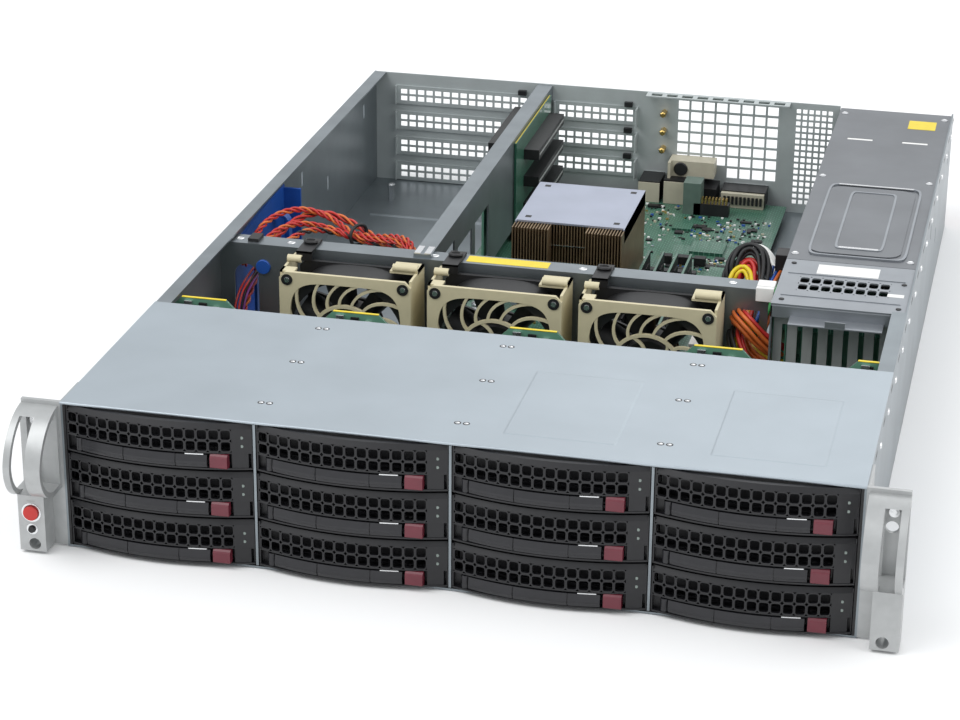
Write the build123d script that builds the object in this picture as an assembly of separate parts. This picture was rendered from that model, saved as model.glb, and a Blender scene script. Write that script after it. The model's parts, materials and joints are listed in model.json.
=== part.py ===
from build123d import *
import math
import os

# A rack server two units high. Millimetres. The origin is the middle of the base's underside,
# the front faces -Y and +Z is up. While the pieces are modelled, y is the station behind the
# front plane; place() shifts each finished piece to the origin.

# Body
chassis_width = 437.0
chassis_depth = 648.0
chassis_height = 88.0
sheet = 1.2
cover_sheet = 1.2
slide_gap = 0.4
seat_gap = 0.3
flange_width = 8.0
wall_slot_width = 3.5
wall_slot_height = 10.6
wall_slot_stations = (chassis_depth - 198.0, chassis_depth - 135.0, chassis_depth - 37.0)
wall_slot_upper = 65.3
wall_slot_lower = 41.3

# Drive bays
columns = 4
rows = 3
bay_cover_depth = 153.0
bay_cover_brow = 1.2
divider_sheet = 1.5
shelf_sheet = 1.0
cage_depth = 150.0
backplane_station = 170.0
board_thickness = 1.6
tab_width_top = 28.0
tab_width_base = 40.0
tab_height = 6.0
tab_shares = (-0.893, -0.458, 0.037, 0.538, 0.939)
backplane_height = 79.0
plug_width = 48.0
plug_height = 7.0
plug_depth = 5.0
plug_drop = 4.0

# Drive carriers
bezel_bulge = 8.0
bezel_depth = 4.6
bezel_wall = 1.6
bezel_front_step = 1.0
grille_columns = 4
grille_rows = 2
grille_web = 1.9
grille_bar = 1.7
grille_hole_height = 5.0
grille_start = 4.2
grille_end = 14.0
lever_zone = 9.6
lever_lip = 1.0
lever_height = 7.4
lever_thickness = 3.4
lever_start = 7.5
lever_knuckle = 2.4
knuckle_sides = 8
release_width = 12.0
release_depth = 5.0
release_height = 9.6
release_edge = 11.5
release_step = 2.0
rail_thickness = 1.8
rail_height = 20.0
rail_low = 2.0
rail_overrun = 6.0
drive_width = 101.6
drive_height = 26.1
drive_length = 147.0
drive_start = 9.0

# Fans
fan_width = 84.0
fan_height = 81.5
fan_pitch = 94.4
fan_row_middle = -29.3
fan_station = 230.0
guard_thickness = 2.4
guard_window = 71.0
guard_corner = 17.0
shroud_wall = 1.6
fan_frame_depth = 32.0
fan_frame_side = 76.0
fan_bore = 36.5
blade_tip_gap = 0.9
guard_ring = 21.5
guard_rib = 1.9
guard_outer_ribs = 12
guard_inner_ribs = 4
guard_rib_steps = 3
guard_rib_curl = 1.6
guard_rib_reach = 0.7
guard_hub = 8.0
guard_sides = 24
guard_lean = -26.0
finger_tab = 18.0
hub_radius = 16.5
hub_depth = 20.0
blade_count = 7
blade_thickness = 1.3
blade_chord = 20.0
blade_camber = 3.0
blade_angle = 48.0
hub_start = 4.0
latch_width = 10.0
latch_plate = 2.0

# Fan wall
wall_station = 270.0
wall_top = 84.0
wall_bar_depth = 15.0
wall_bar_lip = 6.0
wall_foot = 8.0
wall_gap = 4.0
wall_window = 70.0
arch_inset = 17.3
arch_width = 16.0
arch_low = 8.0
arch_top = 70.0
wire_gate = 14.0
wire_gate_edge = 5.0

# Board
board_left = -100.0
board_right = 102.0
board_front = 292.0
board_edge = 7.0
standoff_height = 6.0
standoff_radius = 3.0
board_chips = ((59.0, chassis_depth - 117.0, 24.0, 2.4), (34.0, chassis_depth - 76.0, 14.0, 1.8),
               (78.0, chassis_depth - 178.0, 20.0, 7.0))
rear_ports = ((0.0, 16.0, 24.0, 16.0), (19.0, 16.0, 24.0, 18.5), (41.0, 18.0, 22.0, 13.0),
              (70.0, 33.0, 18.0, 12.0))
fan_socket = (-95.0, 306.0, 6.0, 12.0, 6.0)
power_socket = (84.0, 339.0, 12.0, 46.0, 12.0)
board_sockets = (fan_socket, power_socket, (84.0, 384.0, 12.0, 22.0, 12.0),
                 (50.0, chassis_depth - 42.0, 26.0, 8.0, 9.0), (34.0, chassis_depth - 149.0, 8.0, 6.0, 6.0),
                 (46.0, chassis_depth - 149.0, 8.0, 6.0, 6.0), (58.0, chassis_depth - 149.0, 8.0, 6.0, 6.0))
memory_first = 32.0
memory_pitch = 9.5
memory_count = 4
memory_socket = 6.4
memory_front = 300.0
memory_length = 144.0
memory_latch = 6.0
memory_latch_height = 17.0
memory_card = 1.4
memory_height = 31.0
sink_left = -52.0
sink_right = 22.0
sink_front = 382.0
sink_back = 473.0
sink_top = 70.0
sink_base = 6.0
sink_fins = 16
sink_fin = 1.0
sink_step = 12.0
sink_cap = 1.2
processor_height = 4.5
processor_edge = 16.0
socket_height = 6.0

# Rear panel and card slots
slot_pitch = 20.32
slot_window_height = 12.4
slot_window_width = 104.0
left_slot_inset = 16.8
left_slots = 4
left_slot_first = 9.0
right_slot_window_width = 62.0
right_slot_start = -77.0
right_slots = 3
right_slot_first = 26.6
slot_cover_sheet = 0.9
slot_cover_margin = 1.2
slot_cover_tab = 9.0
slot_vent_height = 7.4
slot_vent_count = 5
mesh_left = 16.0
mesh_right = 94.0
mesh_bottom = 34.0
mesh_top = 82.0
mesh_columns = 6
mesh_rows = 4
mesh_web = 3.2
port_left = -14.0
port_right = 92.0
port_bottom = 9.0
port_top = 29.5
side_mesh_width = 28.5
side_mesh_rows = 6
side_mesh_columns = 3

# Centre brace and risers
brace_left = -91.0
brace_width = 11.5
brace_top = 86.0
brace_height = 12.0
brace_lap = 12.0
bracket_front = 335.0
bracket_inset = 60.0
bracket_clearance = 10.0
bracket_rim = 9.0
bracket_window = 40.0
bracket_windows = 2
left_riser_front = chassis_depth - 178.0
right_riser_front = chassis_depth - 136.0
riser_sheet = 1.6
riser_top = 83.0
riser_inset = 14.0
riser_edge = 6.0
socket_length = 89.0
socket_width = 7.5
socket_depth = 11.0

# Power supplies
supply_bay = 80.3
supply_front = 325.0
supply_top = 85.2
supply_sheet = 1.0
supply_width = 76.0
supply_height = 40.0
supply_inset = 6.0
supply_fan_depth = 6.0
supply_fan_radius = 16.0
inlet_width = 24.0
inlet_height = 20.0
inlet_depth = 14.0
inlet_pin = 4.0
inlet_share = 0.72
pull_height = 30.0
pull_reach = 22.0
pull_bar = 3.0
latch_inset = 4.0
latch_height = 12.0
latch_leaf = 1.6
latch_reach = 15.0
latch_thumb = 5.0
cage_rim = 8.0
emboss_width = 58.0
emboss_length = 130.0
emboss_corner = 10.0
emboss_rise = 0.6
emboss_middle = 405.0
vent_station = chassis_depth - 73.0
vent_length = 18.0
vent_width = 4.0
cap_front = 247.0
cap_holes = 8
cap_hole_rows = 2
cap_hole = 6.0
cap_hole_start = 36.5
cap_hole_pitch = 12.0
cap_margin = 12.0
cap_step = 9.0
cap_brow = 12.0
cap_gate_start = 256.0
cap_gate_end = 269.0
cap_gate_low = 10.0
cap_gate_high = 60.0
grid_slots = 8
grid_web = 4.4
grid_low = 30.0
grid_high = 66.0
grid_station = 254.0
power_board_station = 270.0
plug_inset = 12.0
plug_half = 6.0
outlet_inset = 10.0
outlet_size = 12.0
outlet_height = 38.0

# Ears
ear_width = 22.8
rack_hole_inset = 8.75
rack_hole_low = 5.95
rack_hole_pitch = 60.325
rack_hole_radius = 3.4
ear_sheet = 2.5
ear_edge = 1.5
ear_return = 30.0
handle_reach = 30.0
handle_gap = 1.5
handle_rail = 9.0
handle_crown = 0.8
handle_tail = 0.86
handle_tail_rise = 8.0
handle_side = 3.8
handle_band = 3.0
handle_drop = 26.0
panel_gap = 7.5
panel_depth = 13.0
panel_top = 36.0
power_button_radius = 4.2
reset_button_radius = 1.8
button_height = 25.0
reset_height = 15.0
button_stroke = 1.5
button_well = 5.0
button_proud = 1.8

# Wires
fan_lead_radius = 2.4
supply_lead_radius = 1.9
lead_sides = 6
guide_wall = 2.0
guide_start = 294.0
guide_end = 402.0
guide_low = 20.0
guide_top = 78.0
guide_reach = 14.0

# Sizes worked out from the ones above
inner_half = chassis_width / 2 - sheet
fan_base = sheet + seat_gap
wall_height = chassis_height - cover_sheet
column_pitch = (2 * inner_half - divider_sheet) / columns
row_pitch = (wall_height - sheet) / rows
bezel_width = column_pitch - divider_sheet - 2 * slide_gap
bezel_height = row_pitch - shelf_sheet - 2 * slide_gap
carrier_back = drive_start + drive_length + rail_overrun
carrier_lift = shelf_sheet / 2 + slide_gap
hinge_x = -bezel_width / 2 + lever_start
release_left = bezel_width / 2 - release_edge - release_width
supply_left = inner_half - supply_bay
supply_length = chassis_depth - supply_front - supply_inset
outlet_left = supply_left + outlet_inset
wall_right = supply_left - wall_gap
side_mesh_left = wall_right - side_mesh_width
arch_middle = arch_inset - inner_half
left_slot_start = left_slot_inset - inner_half
rack_width = chassis_width + 2 * ear_width
rack_hole_span = rack_width - 2 * rack_hole_inset
handle_inner = chassis_width / 2 + handle_gap
panel_inner = chassis_width / 2 + panel_gap


def place(pieces):
    """Shift finished solids from front stations to the part's origin, as one compound."""
    return Compound([Pos(0, -chassis_depth / 2, 0) * one for one in pieces])


def block(x0, x1, y0, y1, z0, z1):
    """A block between two limits on each axis."""
    corner = (Align.MIN, Align.MIN, Align.MIN)
    return Pos(x0, y0, z0) * Box(x1 - x0, y1 - y0, z1 - z0, align=corner)


def rod_y(x, y, z, radius, length):
    """A cylinder along Y whose front end is at station y."""
    turned = Rot(-90, 0, 0) * Cylinder(radius, length, align=(Align.CENTER, Align.CENTER, Align.MIN))
    return Pos(x, y, z) * turned


def upright(face, station, thickness):
    """A flat outline drawn in x and z, made a plate that runs back from the station."""
    return Pos(0, station, 0) * extrude(Plane.XZ * face, -thickness)


def box_face(x0, x1, z0, z1):
    """A rectangle between limits."""
    return Pos((x0 + x1) / 2, (z0 + z1) / 2) * Rectangle(x1 - x0, z1 - z0)


def spread(count, start, end):
    """Middles of equal parts between two limits."""
    step = (end - start) / count
    return [start + step * (place_in_row + 0.5) for place_in_row in range(count)]


# Chassis

def chassis_tub():
    """Floor and two side walls from one sheet, with folded top flanges and rail slots."""
    half = chassis_width / 2
    tub = block(-half, half, 0, chassis_depth, 0, wall_height)
    tub -= block(-inner_half, inner_half, -1, chassis_depth + 1, sheet, wall_height + 1)
    flange_start = bay_cover_depth + slide_gap
    left_end = chassis_depth - sheet
    tub += block(-inner_half, -inner_half + flange_width, flange_start, left_end,
                 wall_height - sheet, wall_height)
    tub += block(inner_half - flange_width, inner_half, flange_start, cap_front - slide_gap,
                 wall_height - sheet, wall_height)
    levels = (wall_slot_upper, wall_slot_lower, wall_slot_upper)
    for station, level in zip(wall_slot_stations, levels):
        tub -= block(-half - 1, half + 1, station - wall_slot_width / 2, station + wall_slot_width / 2,
                     level - wall_slot_height / 2, level + wall_slot_height / 2)
    return [tub]


def slot_rows(first, count):
    """Heights of the middles of the card slots in a stack."""
    return [first + slot_pitch * row for row in range(count)]


def rear_panel():
    """Rear sheet between the left wall and the supplies, with slots, ports and meshes."""
    face = box_face(-inner_half, supply_left - slide_gap, sheet, wall_height)
    half_window = slot_window_height / 2
    for level in slot_rows(left_slot_first, left_slots):
        face -= box_face(left_slot_start, left_slot_start + slot_window_width,
                         level - half_window, level + half_window)
    for level in slot_rows(right_slot_first, right_slots):
        face -= box_face(right_slot_start, right_slot_start + right_slot_window_width,
                         level - half_window, level + half_window)
    cell = (mesh_right - mesh_left) / mesh_columns - mesh_web
    cell_high = (mesh_top - mesh_bottom) / mesh_rows - mesh_web
    for x in spread(mesh_columns, mesh_left, mesh_right):
        for z in spread(mesh_rows, mesh_bottom, mesh_top):
            face -= Pos(x, z) * Rectangle(cell, cell_high)
    side_cell = side_mesh_width / side_mesh_columns - mesh_web
    side_high = (mesh_top - port_bottom) / side_mesh_rows - mesh_web
    for x in spread(side_mesh_columns, side_mesh_left, wall_right):
        for z in spread(side_mesh_rows, port_bottom, mesh_top):
            face -= Pos(x, z) * Rectangle(side_cell, side_high)
    face -= box_face(port_left, port_right, port_bottom, port_top)
    return [upright(face, chassis_depth - sheet, sheet)]


def slot_cover(left, width, level):
    """One blank bracket with a row of vents and a bent screw tab at its right end."""
    half = slot_window_height / 2 + slot_cover_margin
    end = left + width + slot_cover_margin
    face = box_face(left - slot_cover_margin, end, level - half, level + half)
    vent = width / slot_vent_count - mesh_web
    for x in spread(slot_vent_count, left, left + width):
        face -= Pos(x, level) * Rectangle(vent, slot_vent_height)
    back = chassis_depth - sheet - slot_cover_sheet
    cover = upright(face, back, slot_cover_sheet)
    cover += block(end - slot_cover_sheet, end, back - slot_cover_tab, back, level - half, level + half)
    return cover


def slot_covers():
    """Blank brackets of both stacks of card slots."""
    covers = [slot_cover(left_slot_start, slot_window_width, level)
              for level in slot_rows(left_slot_first, left_slots)]
    covers += [slot_cover(right_slot_start, right_slot_window_width, level)
               for level in slot_rows(right_slot_first, right_slots)]
    return covers


# Drive bays

def bay_cover():
    """Flat cover over the drives, which stands a little forward of the bays."""
    half = chassis_width / 2
    return [block(-half, half, -bay_cover_brow, bay_cover_depth, wall_height, chassis_height)]


def column_middle(column):
    """Middle of a column of drive bays."""
    return (column - (columns - 1) / 2) * column_pitch


def row_bottom(row):
    """Height where a row of drive bays starts."""
    return sheet + row * row_pitch


def drive_cage():
    """Upright dividers and the shelves between them."""
    plates = []
    for wall in range(columns + 1):
        x = (wall - columns / 2) * column_pitch
        plates.append(block(x - divider_sheet / 2, x + divider_sheet / 2, 0, cage_depth, sheet, wall_height))
    half_shelf = (column_pitch - divider_sheet) / 2
    for column in range(columns):
        x = column_middle(column)
        for row in range(1, rows):
            z = row_bottom(row)
            plates.append(block(x - half_shelf, x + half_shelf, bezel_depth, cage_depth,
                                z - shelf_sheet / 2, z + shelf_sheet / 2))
    return plates


def drive_backplane():
    """Upright board behind the drives with tabs on top and one connector for each drive."""
    half = inner_half - slide_gap
    face = box_face(-half, half, sheet, backplane_height)
    for share in tab_shares:
        x = share * inner_half
        wide = min(tab_width_base / 2, half - abs(x))
        narrow = wide - (tab_width_base - tab_width_top) / 2
        top = backplane_height + tab_height
        points = [(x - wide, backplane_height - 1), (x + wide, backplane_height - 1),
                  (x + wide, backplane_height), (x + narrow, top), (x - narrow, top),
                  (x - wide, backplane_height)]
        face += make_face(Polyline(*points, close=True))
    pieces = [upright(face, backplane_station, board_thickness)]
    for column in range(columns):
        for row in range(rows):
            x = column_middle(column)
            z = row_bottom(row) + row_pitch / 2 - plug_drop
            pieces.append(block(x - plug_width / 2, x + plug_width / 2, backplane_station - plug_depth,
                                backplane_station, z - plug_height / 2, z + plug_height / 2))
    return pieces


# Drive carriers

def bow(x, bulge=bezel_bulge):
    """Station of the bowed front at a place along the bezel."""
    radius = (bezel_width * bezel_width / 4 + bulge * bulge) / (2 * bulge)
    return radius - bulge - math.sqrt(radius * radius - x * x)


def bulge_face(bulge):
    """Plan of the bezel: a straight back and a front of flat facets, one to a column of the grille."""
    half = bezel_width / 2
    start, end = grille_limits()
    facets = [start + (end - start) * column / grille_columns for column in range(1, grille_columns + 1)]
    front = [(x, bow(x, bulge)) for x in [-half] + facets + [half]]
    return make_face(Polyline(*front, (half, bezel_depth), (-half, bezel_depth), close=True))


def grille_limits():
    """Left and right ends of the grille along the bezel."""
    return -bezel_width / 2 + grille_start, bezel_width / 2 - grille_end


def slab(face, z0, z1):
    """A plan outline made solid between two heights."""
    return Pos(0, 0, z0) * extrude(face, z1 - z0)


def hinge_station():
    """Station of the lever's hinge axis, between the bezel's lip and ledge."""
    return bezel_depth - bezel_wall - lever_knuckle - slide_gap


def carrier_bezel():
    """Bowed bezel with its grille and, under the grille, the recess for the lever."""
    bezel = slab(bulge_face(bezel_bulge), 0, bezel_height)
    recess_end = release_left + release_width + slide_gap
    bezel -= block(-bezel_width / 2 - 1, recess_end, -bezel_bulge - 1, bezel_depth - bezel_wall,
                   lever_lip, lever_zone)
    low = lever_zone + grille_bar
    start, end = grille_limits()
    hole = (end - start) / grille_columns - grille_web
    for x in spread(grille_columns, start, end):
        for row in range(grille_rows):
            z = low + row * (grille_hole_height + grille_bar)
            bezel -= block(x - hole / 2, x + hole / 2, -bezel_bulge - 1, bezel_depth + 1,
                           z, z + grille_hole_height)
    return bezel


def carrier_rails():
    """Side rails that hold the drive, joined by a bar behind it."""
    half = bezel_width / 2
    left = block(-half, -half + rail_thickness, bezel_depth, carrier_back, rail_low, rail_low + rail_height)
    right = block(half - rail_thickness, half, bezel_depth, carrier_back, rail_low, rail_low + rail_height)
    bar = block(-half, half, carrier_back - rail_thickness, carrier_back, rail_low, 2 * rail_low)
    return left + right + bar


def carrier_spot(column, row):
    """Place of a carrier's lower middle at the front plane."""
    return Pos(column_middle(column), 0, row_bottom(row) + carrier_lift)


def release_button():
    """Release button beside the lever's tip, with a brow that laps over the bezel."""
    right = release_left + release_width
    front = bow(release_left) - release_step
    step = lever_zone - seat_gap
    button = block(release_left, right, front, front + release_depth, lever_lip + seat_gap, step)
    button += block(release_left, right, front, bow(release_left) - seat_gap, step, lever_lip + release_height)
    return button


def drive_carrier(column, row):
    """One carrier: bezel with rails, the release button and the drive between the rails."""
    frame = carrier_bezel() + carrier_rails()
    drive = block(-drive_width / 2, drive_width / 2, drive_start, drive_start + drive_length,
                  0, drive_height)
    spot = carrier_spot(column, row)
    return [spot * frame, spot * release_button(), spot * drive]


def carrier_lever(column, row):
    """One lever: a bar with a bowed front and a flat back that turns on a knuckle at its left end."""
    tip = release_left - slide_gap
    bulge = bezel_bulge + bezel_front_step
    knuckle = hinge_station()
    tip_back = bow(tip, bulge) + lever_thickness
    reach = -2 * bulge
    trim = make_face(Polyline((hinge_x, knuckle + lever_knuckle), (tip, tip_back), (tip, reach),
                              (hinge_x, reach), close=True))
    outline = bulge_face(bulge) & trim
    outline += Pos(hinge_x, knuckle) * RegularPolygon(lever_knuckle, knuckle_sides)
    lever = slab(outline, 0, lever_height)
    return [carrier_spot(column, row) * Pos(0, 0, lever_lip + seat_gap) * lever]


# Fans

def fan_middle(index):
    """Middle of a fan in the row of three."""
    return fan_row_middle + (index - 1) * fan_pitch


def rib_face(radius_in, radius_out, angle, sweep):
    """A bent rib between two radii that leans further round with every step outwards."""
    points = []
    for step in range(guard_rib_steps + 1):
        share = step / guard_rib_steps
        radius = radius_in + (radius_out - radius_in) * share
        turn = math.radians(angle + sweep * share ** guard_rib_curl)
        points.append((radius * math.cos(turn), radius * math.sin(turn)))
    return trace(Polyline(*points), guard_rib)


def frame_start():
    """Station where the black fan frame starts, behind the guard."""
    return fan_station + guard_thickness + seat_gap


def fan_level():
    """Height of the fan's axis above the base."""
    return fan_base + shroud_wall + seat_gap + fan_frame_side / 2


def guard_face(x):
    """Front of the housing: a frame round a rounded window, a ring, leaning ribs and a hub."""
    window = RectangleRounded(guard_window, guard_window, guard_corner)
    web = RegularPolygon(guard_ring + guard_rib / 2, guard_sides)
    web -= RegularPolygon(guard_ring - guard_rib / 2, guard_sides)
    for rib in range(guard_outer_ribs):
        web += rib_face(guard_ring, guard_window * guard_rib_reach, rib * 360 / guard_outer_ribs, guard_lean)
    for rib in range(guard_inner_ribs):
        turn = (rib + 0.5) * 360 / guard_inner_ribs
        web += rib_face(guard_hub - guard_rib, guard_ring, turn, -guard_lean)
    web = (web + RegularPolygon(guard_hub, guard_sides)) & window
    frame = box_face(x - fan_width / 2, x + fan_width / 2, fan_base, fan_base + fan_height)
    middle = Pos(x, fan_level())
    return frame - middle * window + middle * web


def fan_housing(index):
    """Moulded housing: guard, side walls, floor and the finger tab over the fan."""
    x = fan_middle(index)
    half = fan_width / 2
    top = fan_base + fan_height
    start = fan_station + guard_thickness
    back = frame_start() + fan_frame_depth
    housing = upright(guard_face(x), fan_station, guard_thickness)
    housing += block(x - half, x - half + shroud_wall, start, back, fan_base, top)
    housing += block(x + half - shroud_wall, x + half, start, back, fan_base, top)
    housing += block(x - half, x + half, start, back, fan_base, fan_base + shroud_wall)
    housing += block(x + half - finger_tab, x + half, back - finger_tab, back, top - shroud_wall, top)
    return [housing]


def fan_frame(index):
    """Black fan frame with its bore, motor mount and struts, and the latch over the bar."""
    x = fan_middle(index)
    start = frame_start()
    end = start + fan_frame_depth
    middle = Pos(x, fan_level())
    frame = upright(middle * (Rectangle(fan_frame_side, fan_frame_side) - Circle(fan_bore)),
                    start, fan_frame_depth)
    strut = guard_rib * 2
    mount = Rectangle(strut, 2 * fan_bore + strut / 2) + Rectangle(2 * fan_bore + strut / 2, strut)
    mount += Rectangle(hub_radius * 2 - strut, hub_radius * 2 - strut)
    frame += upright(middle * mount, end - guard_thickness, guard_thickness)
    left = x - fan_width / 2 + shroud_wall + seat_gap
    bar_back = wall_station + wall_bar_depth
    top = wall_top + seat_gap + latch_plate
    latch = block(left, left + latch_width, end - 2 * latch_plate, bar_back, top - latch_plate, top)
    latch += block(left, left + latch_width, end - 2 * latch_plate, end - latch_plate,
                   fan_level() + fan_frame_side / 2, top)
    return [frame + latch]


def blade():
    """One cambered blade: an arched strip set at the blade angle and carried out from hub to tip."""
    half = blade_chord / 2
    arch = Polyline((-half, 0), (-half / 3, blade_camber), (half / 3, blade_camber), (half, 0))
    strip = Rot(0, 0, blade_angle) * trace(arch, blade_thickness)
    root = hub_radius - blade_thickness
    tip = math.sqrt((fan_bore - blade_tip_gap) ** 2 - half ** 2)
    across_hub = Plane(origin=(root, 0, 0), x_dir=(0, 1, 0), z_dir=(1, 0, 0))
    return extrude(across_hub * strip, tip - root)


def fan_rotor(index):
    """Hub cup with its ring of blades, free to turn about Y."""
    start = frame_start() + hub_start
    wing = Pos(0, start + hub_depth / 2, 0) * blade()
    rotor = rod_y(0, start, 0, hub_radius, hub_depth)
    for turn in range(blade_count):
        rotor += Rot(0, turn * 360 / blade_count, 0) * wing
    return [Pos(fan_middle(index), 0, fan_level()) * rotor]


def fan_wall():
    """Partition behind the fans: three windows, a folded bar on top and wire passages."""
    face = box_face(-inner_half, wall_right, sheet, wall_top)
    for index in range(3):
        face -= Pos(fan_middle(index), fan_level()) * Rectangle(wall_window, wall_window)
    arch_half = arch_width / 2
    face -= box_face(arch_middle - arch_half, arch_middle + arch_half, arch_low, arch_top - arch_half)
    face -= Pos(arch_middle, arch_top - arch_half) * Circle(arch_half)
    face -= box_face(wall_right - wire_gate - wire_gate_edge, wall_right - wire_gate_edge, arch_low, arch_top)
    wall = upright(face, wall_station, sheet)
    back = wall_station + wall_bar_depth
    wall += block(-inner_half, wall_right, wall_station, back, wall_top - sheet, wall_top)
    wall += block(-inner_half, wall_right, back - sheet, back, wall_top - wall_bar_lip, wall_top)
    wall += block(-inner_half, wall_right, wall_station, wall_station + wall_foot, sheet, 2 * sheet)
    return [wall]


# Main board

def board_top():
    """Height of the main board's upper face."""
    return sheet + standoff_height + board_thickness


def board_back():
    """Station of the main board's rear edge, in front of the bent tabs of the slot covers."""
    return chassis_depth - sheet - slot_cover_sheet - slot_cover_tab - seat_gap


def mainboard():
    """Main board on its standoffs, with the large chips as separate blocks."""
    low = sheet + standoff_height
    back = board_back()
    board = block(board_left, board_right, board_front, back, low, low + board_thickness)
    pieces = [board]
    for x in (board_left + board_edge, (board_left + board_right) / 2, board_right - board_edge):
        for y in (board_front + board_edge, back - board_edge):
            standoff = extrude(RegularPolygon(standoff_radius, 6), standoff_height)
            pieces.append(Pos(x, y, sheet) * standoff)
    top = board_top()
    for x, y, size, height in board_chips:
        pieces.append(block(x - size / 2, x + size / 2, y - size / 2, y + size / 2, top, top + height))
    return pieces


def board_connectors():
    """Rear port blocks, the power sockets and the small sockets along the board's edges."""
    top = board_top()
    back = chassis_depth - sheet - seat_gap
    pieces = []
    for x, width, depth, height in rear_ports:
        pieces.append(block(x - width / 2, x + width / 2, back - depth, back, top, top + height))
    for x, y, width, depth, height in board_sockets:
        pieces.append(block(x - width / 2, x + width / 2, y - depth / 2, y + depth / 2, top, top + height))
    return pieces


def memory_modules():
    """Memory sockets beside the processor, with their modules standing in them."""
    top = board_top()
    front = memory_front
    back = front + memory_length
    pieces = []
    for index in range(memory_count):
        x = memory_first + index * memory_pitch
        half = memory_socket / 2
        socket = block(x - half, x + half, front, back, top, top + socket_height)
        socket += block(x - half, x + half, front, front + memory_latch, top, top + memory_latch_height)
        socket += block(x - half, x + half, back - memory_latch, back, top, top + memory_latch_height)
        pieces.append(socket)
        pieces.append(block(x - memory_card / 2, x + memory_card / 2, front + memory_latch + seat_gap,
                            back - memory_latch - seat_gap, top + socket_height, top + memory_height))
    return pieces


def heat_sink():
    """Finned sink on the processor: base, upright fins stepped at the front, and a flat cap."""
    low = board_top() + processor_height
    body = block(sink_left, sink_right, sink_front, sink_back, low, sink_top - sink_cap)
    gap = (sink_right - sink_left - sink_fin) / sink_fins
    for index in range(sink_fins):
        x = sink_left + sink_fin + index * gap
        body -= block(x, x + gap - sink_fin, sink_front - 1, sink_back + 1, low + sink_base, sink_top)
    third = (sink_right - sink_left) / 3
    body -= block(sink_left + third, sink_right - third, sink_front - 1, sink_front + sink_step,
                  low + sink_base, sink_top)
    cap = block(sink_left, sink_right, sink_front + sink_step, sink_back, sink_top - sink_cap, sink_top)
    processor = block(sink_left + processor_edge, sink_right - processor_edge, sink_front + processor_edge,
                      sink_back - processor_edge, board_top(), low)
    return [body, cap, processor]


# Centre brace and risers

def center_brace():
    """Folded bar from the fan wall to the rear panel, with the bracket that hangs under it."""
    start = wall_station + wall_bar_depth
    end = chassis_depth - sheet
    right = brace_left + brace_width
    under = brace_top - brace_height
    bar = block(brace_left, right, start, end, under, brace_top)
    bar -= block(brace_left + sheet, right - sheet, start - 1, end + 1, under - 1, brace_top - sheet)
    bar += block(brace_left, right, start - brace_lap, start, wall_top, brace_top)
    low = board_top() + bracket_clearance
    bracket = block(right - sheet, right, bracket_front, end - bracket_inset, low, under)
    for window in range(bracket_windows):
        front = bracket_front + bracket_rim + window * (bracket_window + bracket_rim)
        bracket -= block(right - sheet - 1, right + 1, front, front + bracket_window,
                         low + bracket_rim, under - bracket_rim)
    return [bar + bracket]


def riser_card(x, front, low, levels, side):
    """One upright riser: its card and the card sockets on the side that faces the slots."""
    end = chassis_depth - sheet - slot_cover_sheet - riser_inset
    pieces = [block(x, x + riser_sheet, front, end, low, riser_top)]
    socket0, socket1 = (x - socket_depth, x) if side < 0 else (x + riser_sheet, x + riser_sheet + socket_depth)
    for level in levels:
        pieces.append(block(socket0, socket1, end - riser_edge - socket_length, end - riser_edge,
                            level - socket_width / 2, level + socket_width / 2))
    return pieces


def riser_cards():
    """Left riser for the tall slots and right riser for the low slots, beside the brace."""
    left = brace_left - riser_sheet - seat_gap
    right = brace_left + brace_width + seat_gap
    pieces = riser_card(left, left_riser_front, board_top(), slot_rows(left_slot_first, left_slots)[1:], -1)
    pieces += riser_card(right, right_riser_front, board_top(), slot_rows(right_slot_first, right_slots), 1)
    return pieces


# Power supplies

def supply_cage():
    """Long steel box over the two supplies, open at its rear, with an embossed top."""
    right = inner_half - seat_gap
    back = chassis_depth
    cage = block(supply_left, right, supply_front, back, sheet, supply_top)
    cage -= block(supply_left + supply_sheet, right - supply_sheet, supply_front + supply_sheet, back + 1,
                  0, supply_top - supply_sheet)
    middle = (supply_left + right) / 2
    cage -= block(supply_left + cage_rim, right - cage_rim, supply_front - 1, supply_front + cage_rim,
                  sheet + cage_rim, supply_top - cage_rim)
    emboss = extrude(RectangleRounded(emboss_width, emboss_length, emboss_corner), emboss_rise)
    cage += Pos(middle, emboss_middle, supply_top) * emboss
    for x in (middle - emboss_width / 3, middle + emboss_width / 3):
        cage -= block(x - vent_length / 2, x + vent_length / 2, vent_station, vent_station + vent_width,
                      supply_top - 2 * supply_sheet, supply_top + 1)
    shelf_low = supply_bottom(1) - seat_gap - supply_sheet
    cage += block(supply_left, right, supply_front, back - cage_rim, shelf_low, shelf_low + supply_sheet)
    return [cage]


def supply_cap():
    """Perforated cap in front of the supply cage, with a stepped front lip."""
    right = inner_half - seat_gap
    back = supply_front - seat_gap
    face = box_face(supply_left, right, cap_front, back)
    for row in range(cap_hole_rows):
        for x in spread(cap_holes, supply_left + cap_margin, right - cap_margin):
            face -= Pos(x, back - cap_hole_start - cap_hole_pitch * row) * Rectangle(cap_hole, cap_hole)
    step = supply_top - cap_step
    cap = Pos(0, 0, supply_top - supply_sheet) * extrude(face, supply_sheet)
    cap += block(supply_left, right, cap_front, cap_front + supply_sheet, step, supply_top)
    cap += block(supply_left + cap_margin, right - cap_margin, cap_front - cap_brow, cap_front,
                 step, step + supply_sheet)
    cap += block(supply_left, supply_left + supply_sheet, cap_front, back, sheet, supply_top)
    cap -= block(supply_left - 1, supply_left + supply_sheet + 1, cap_gate_start, cap_gate_end,
                 cap_gate_low, cap_gate_high)
    return [cap]


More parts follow.
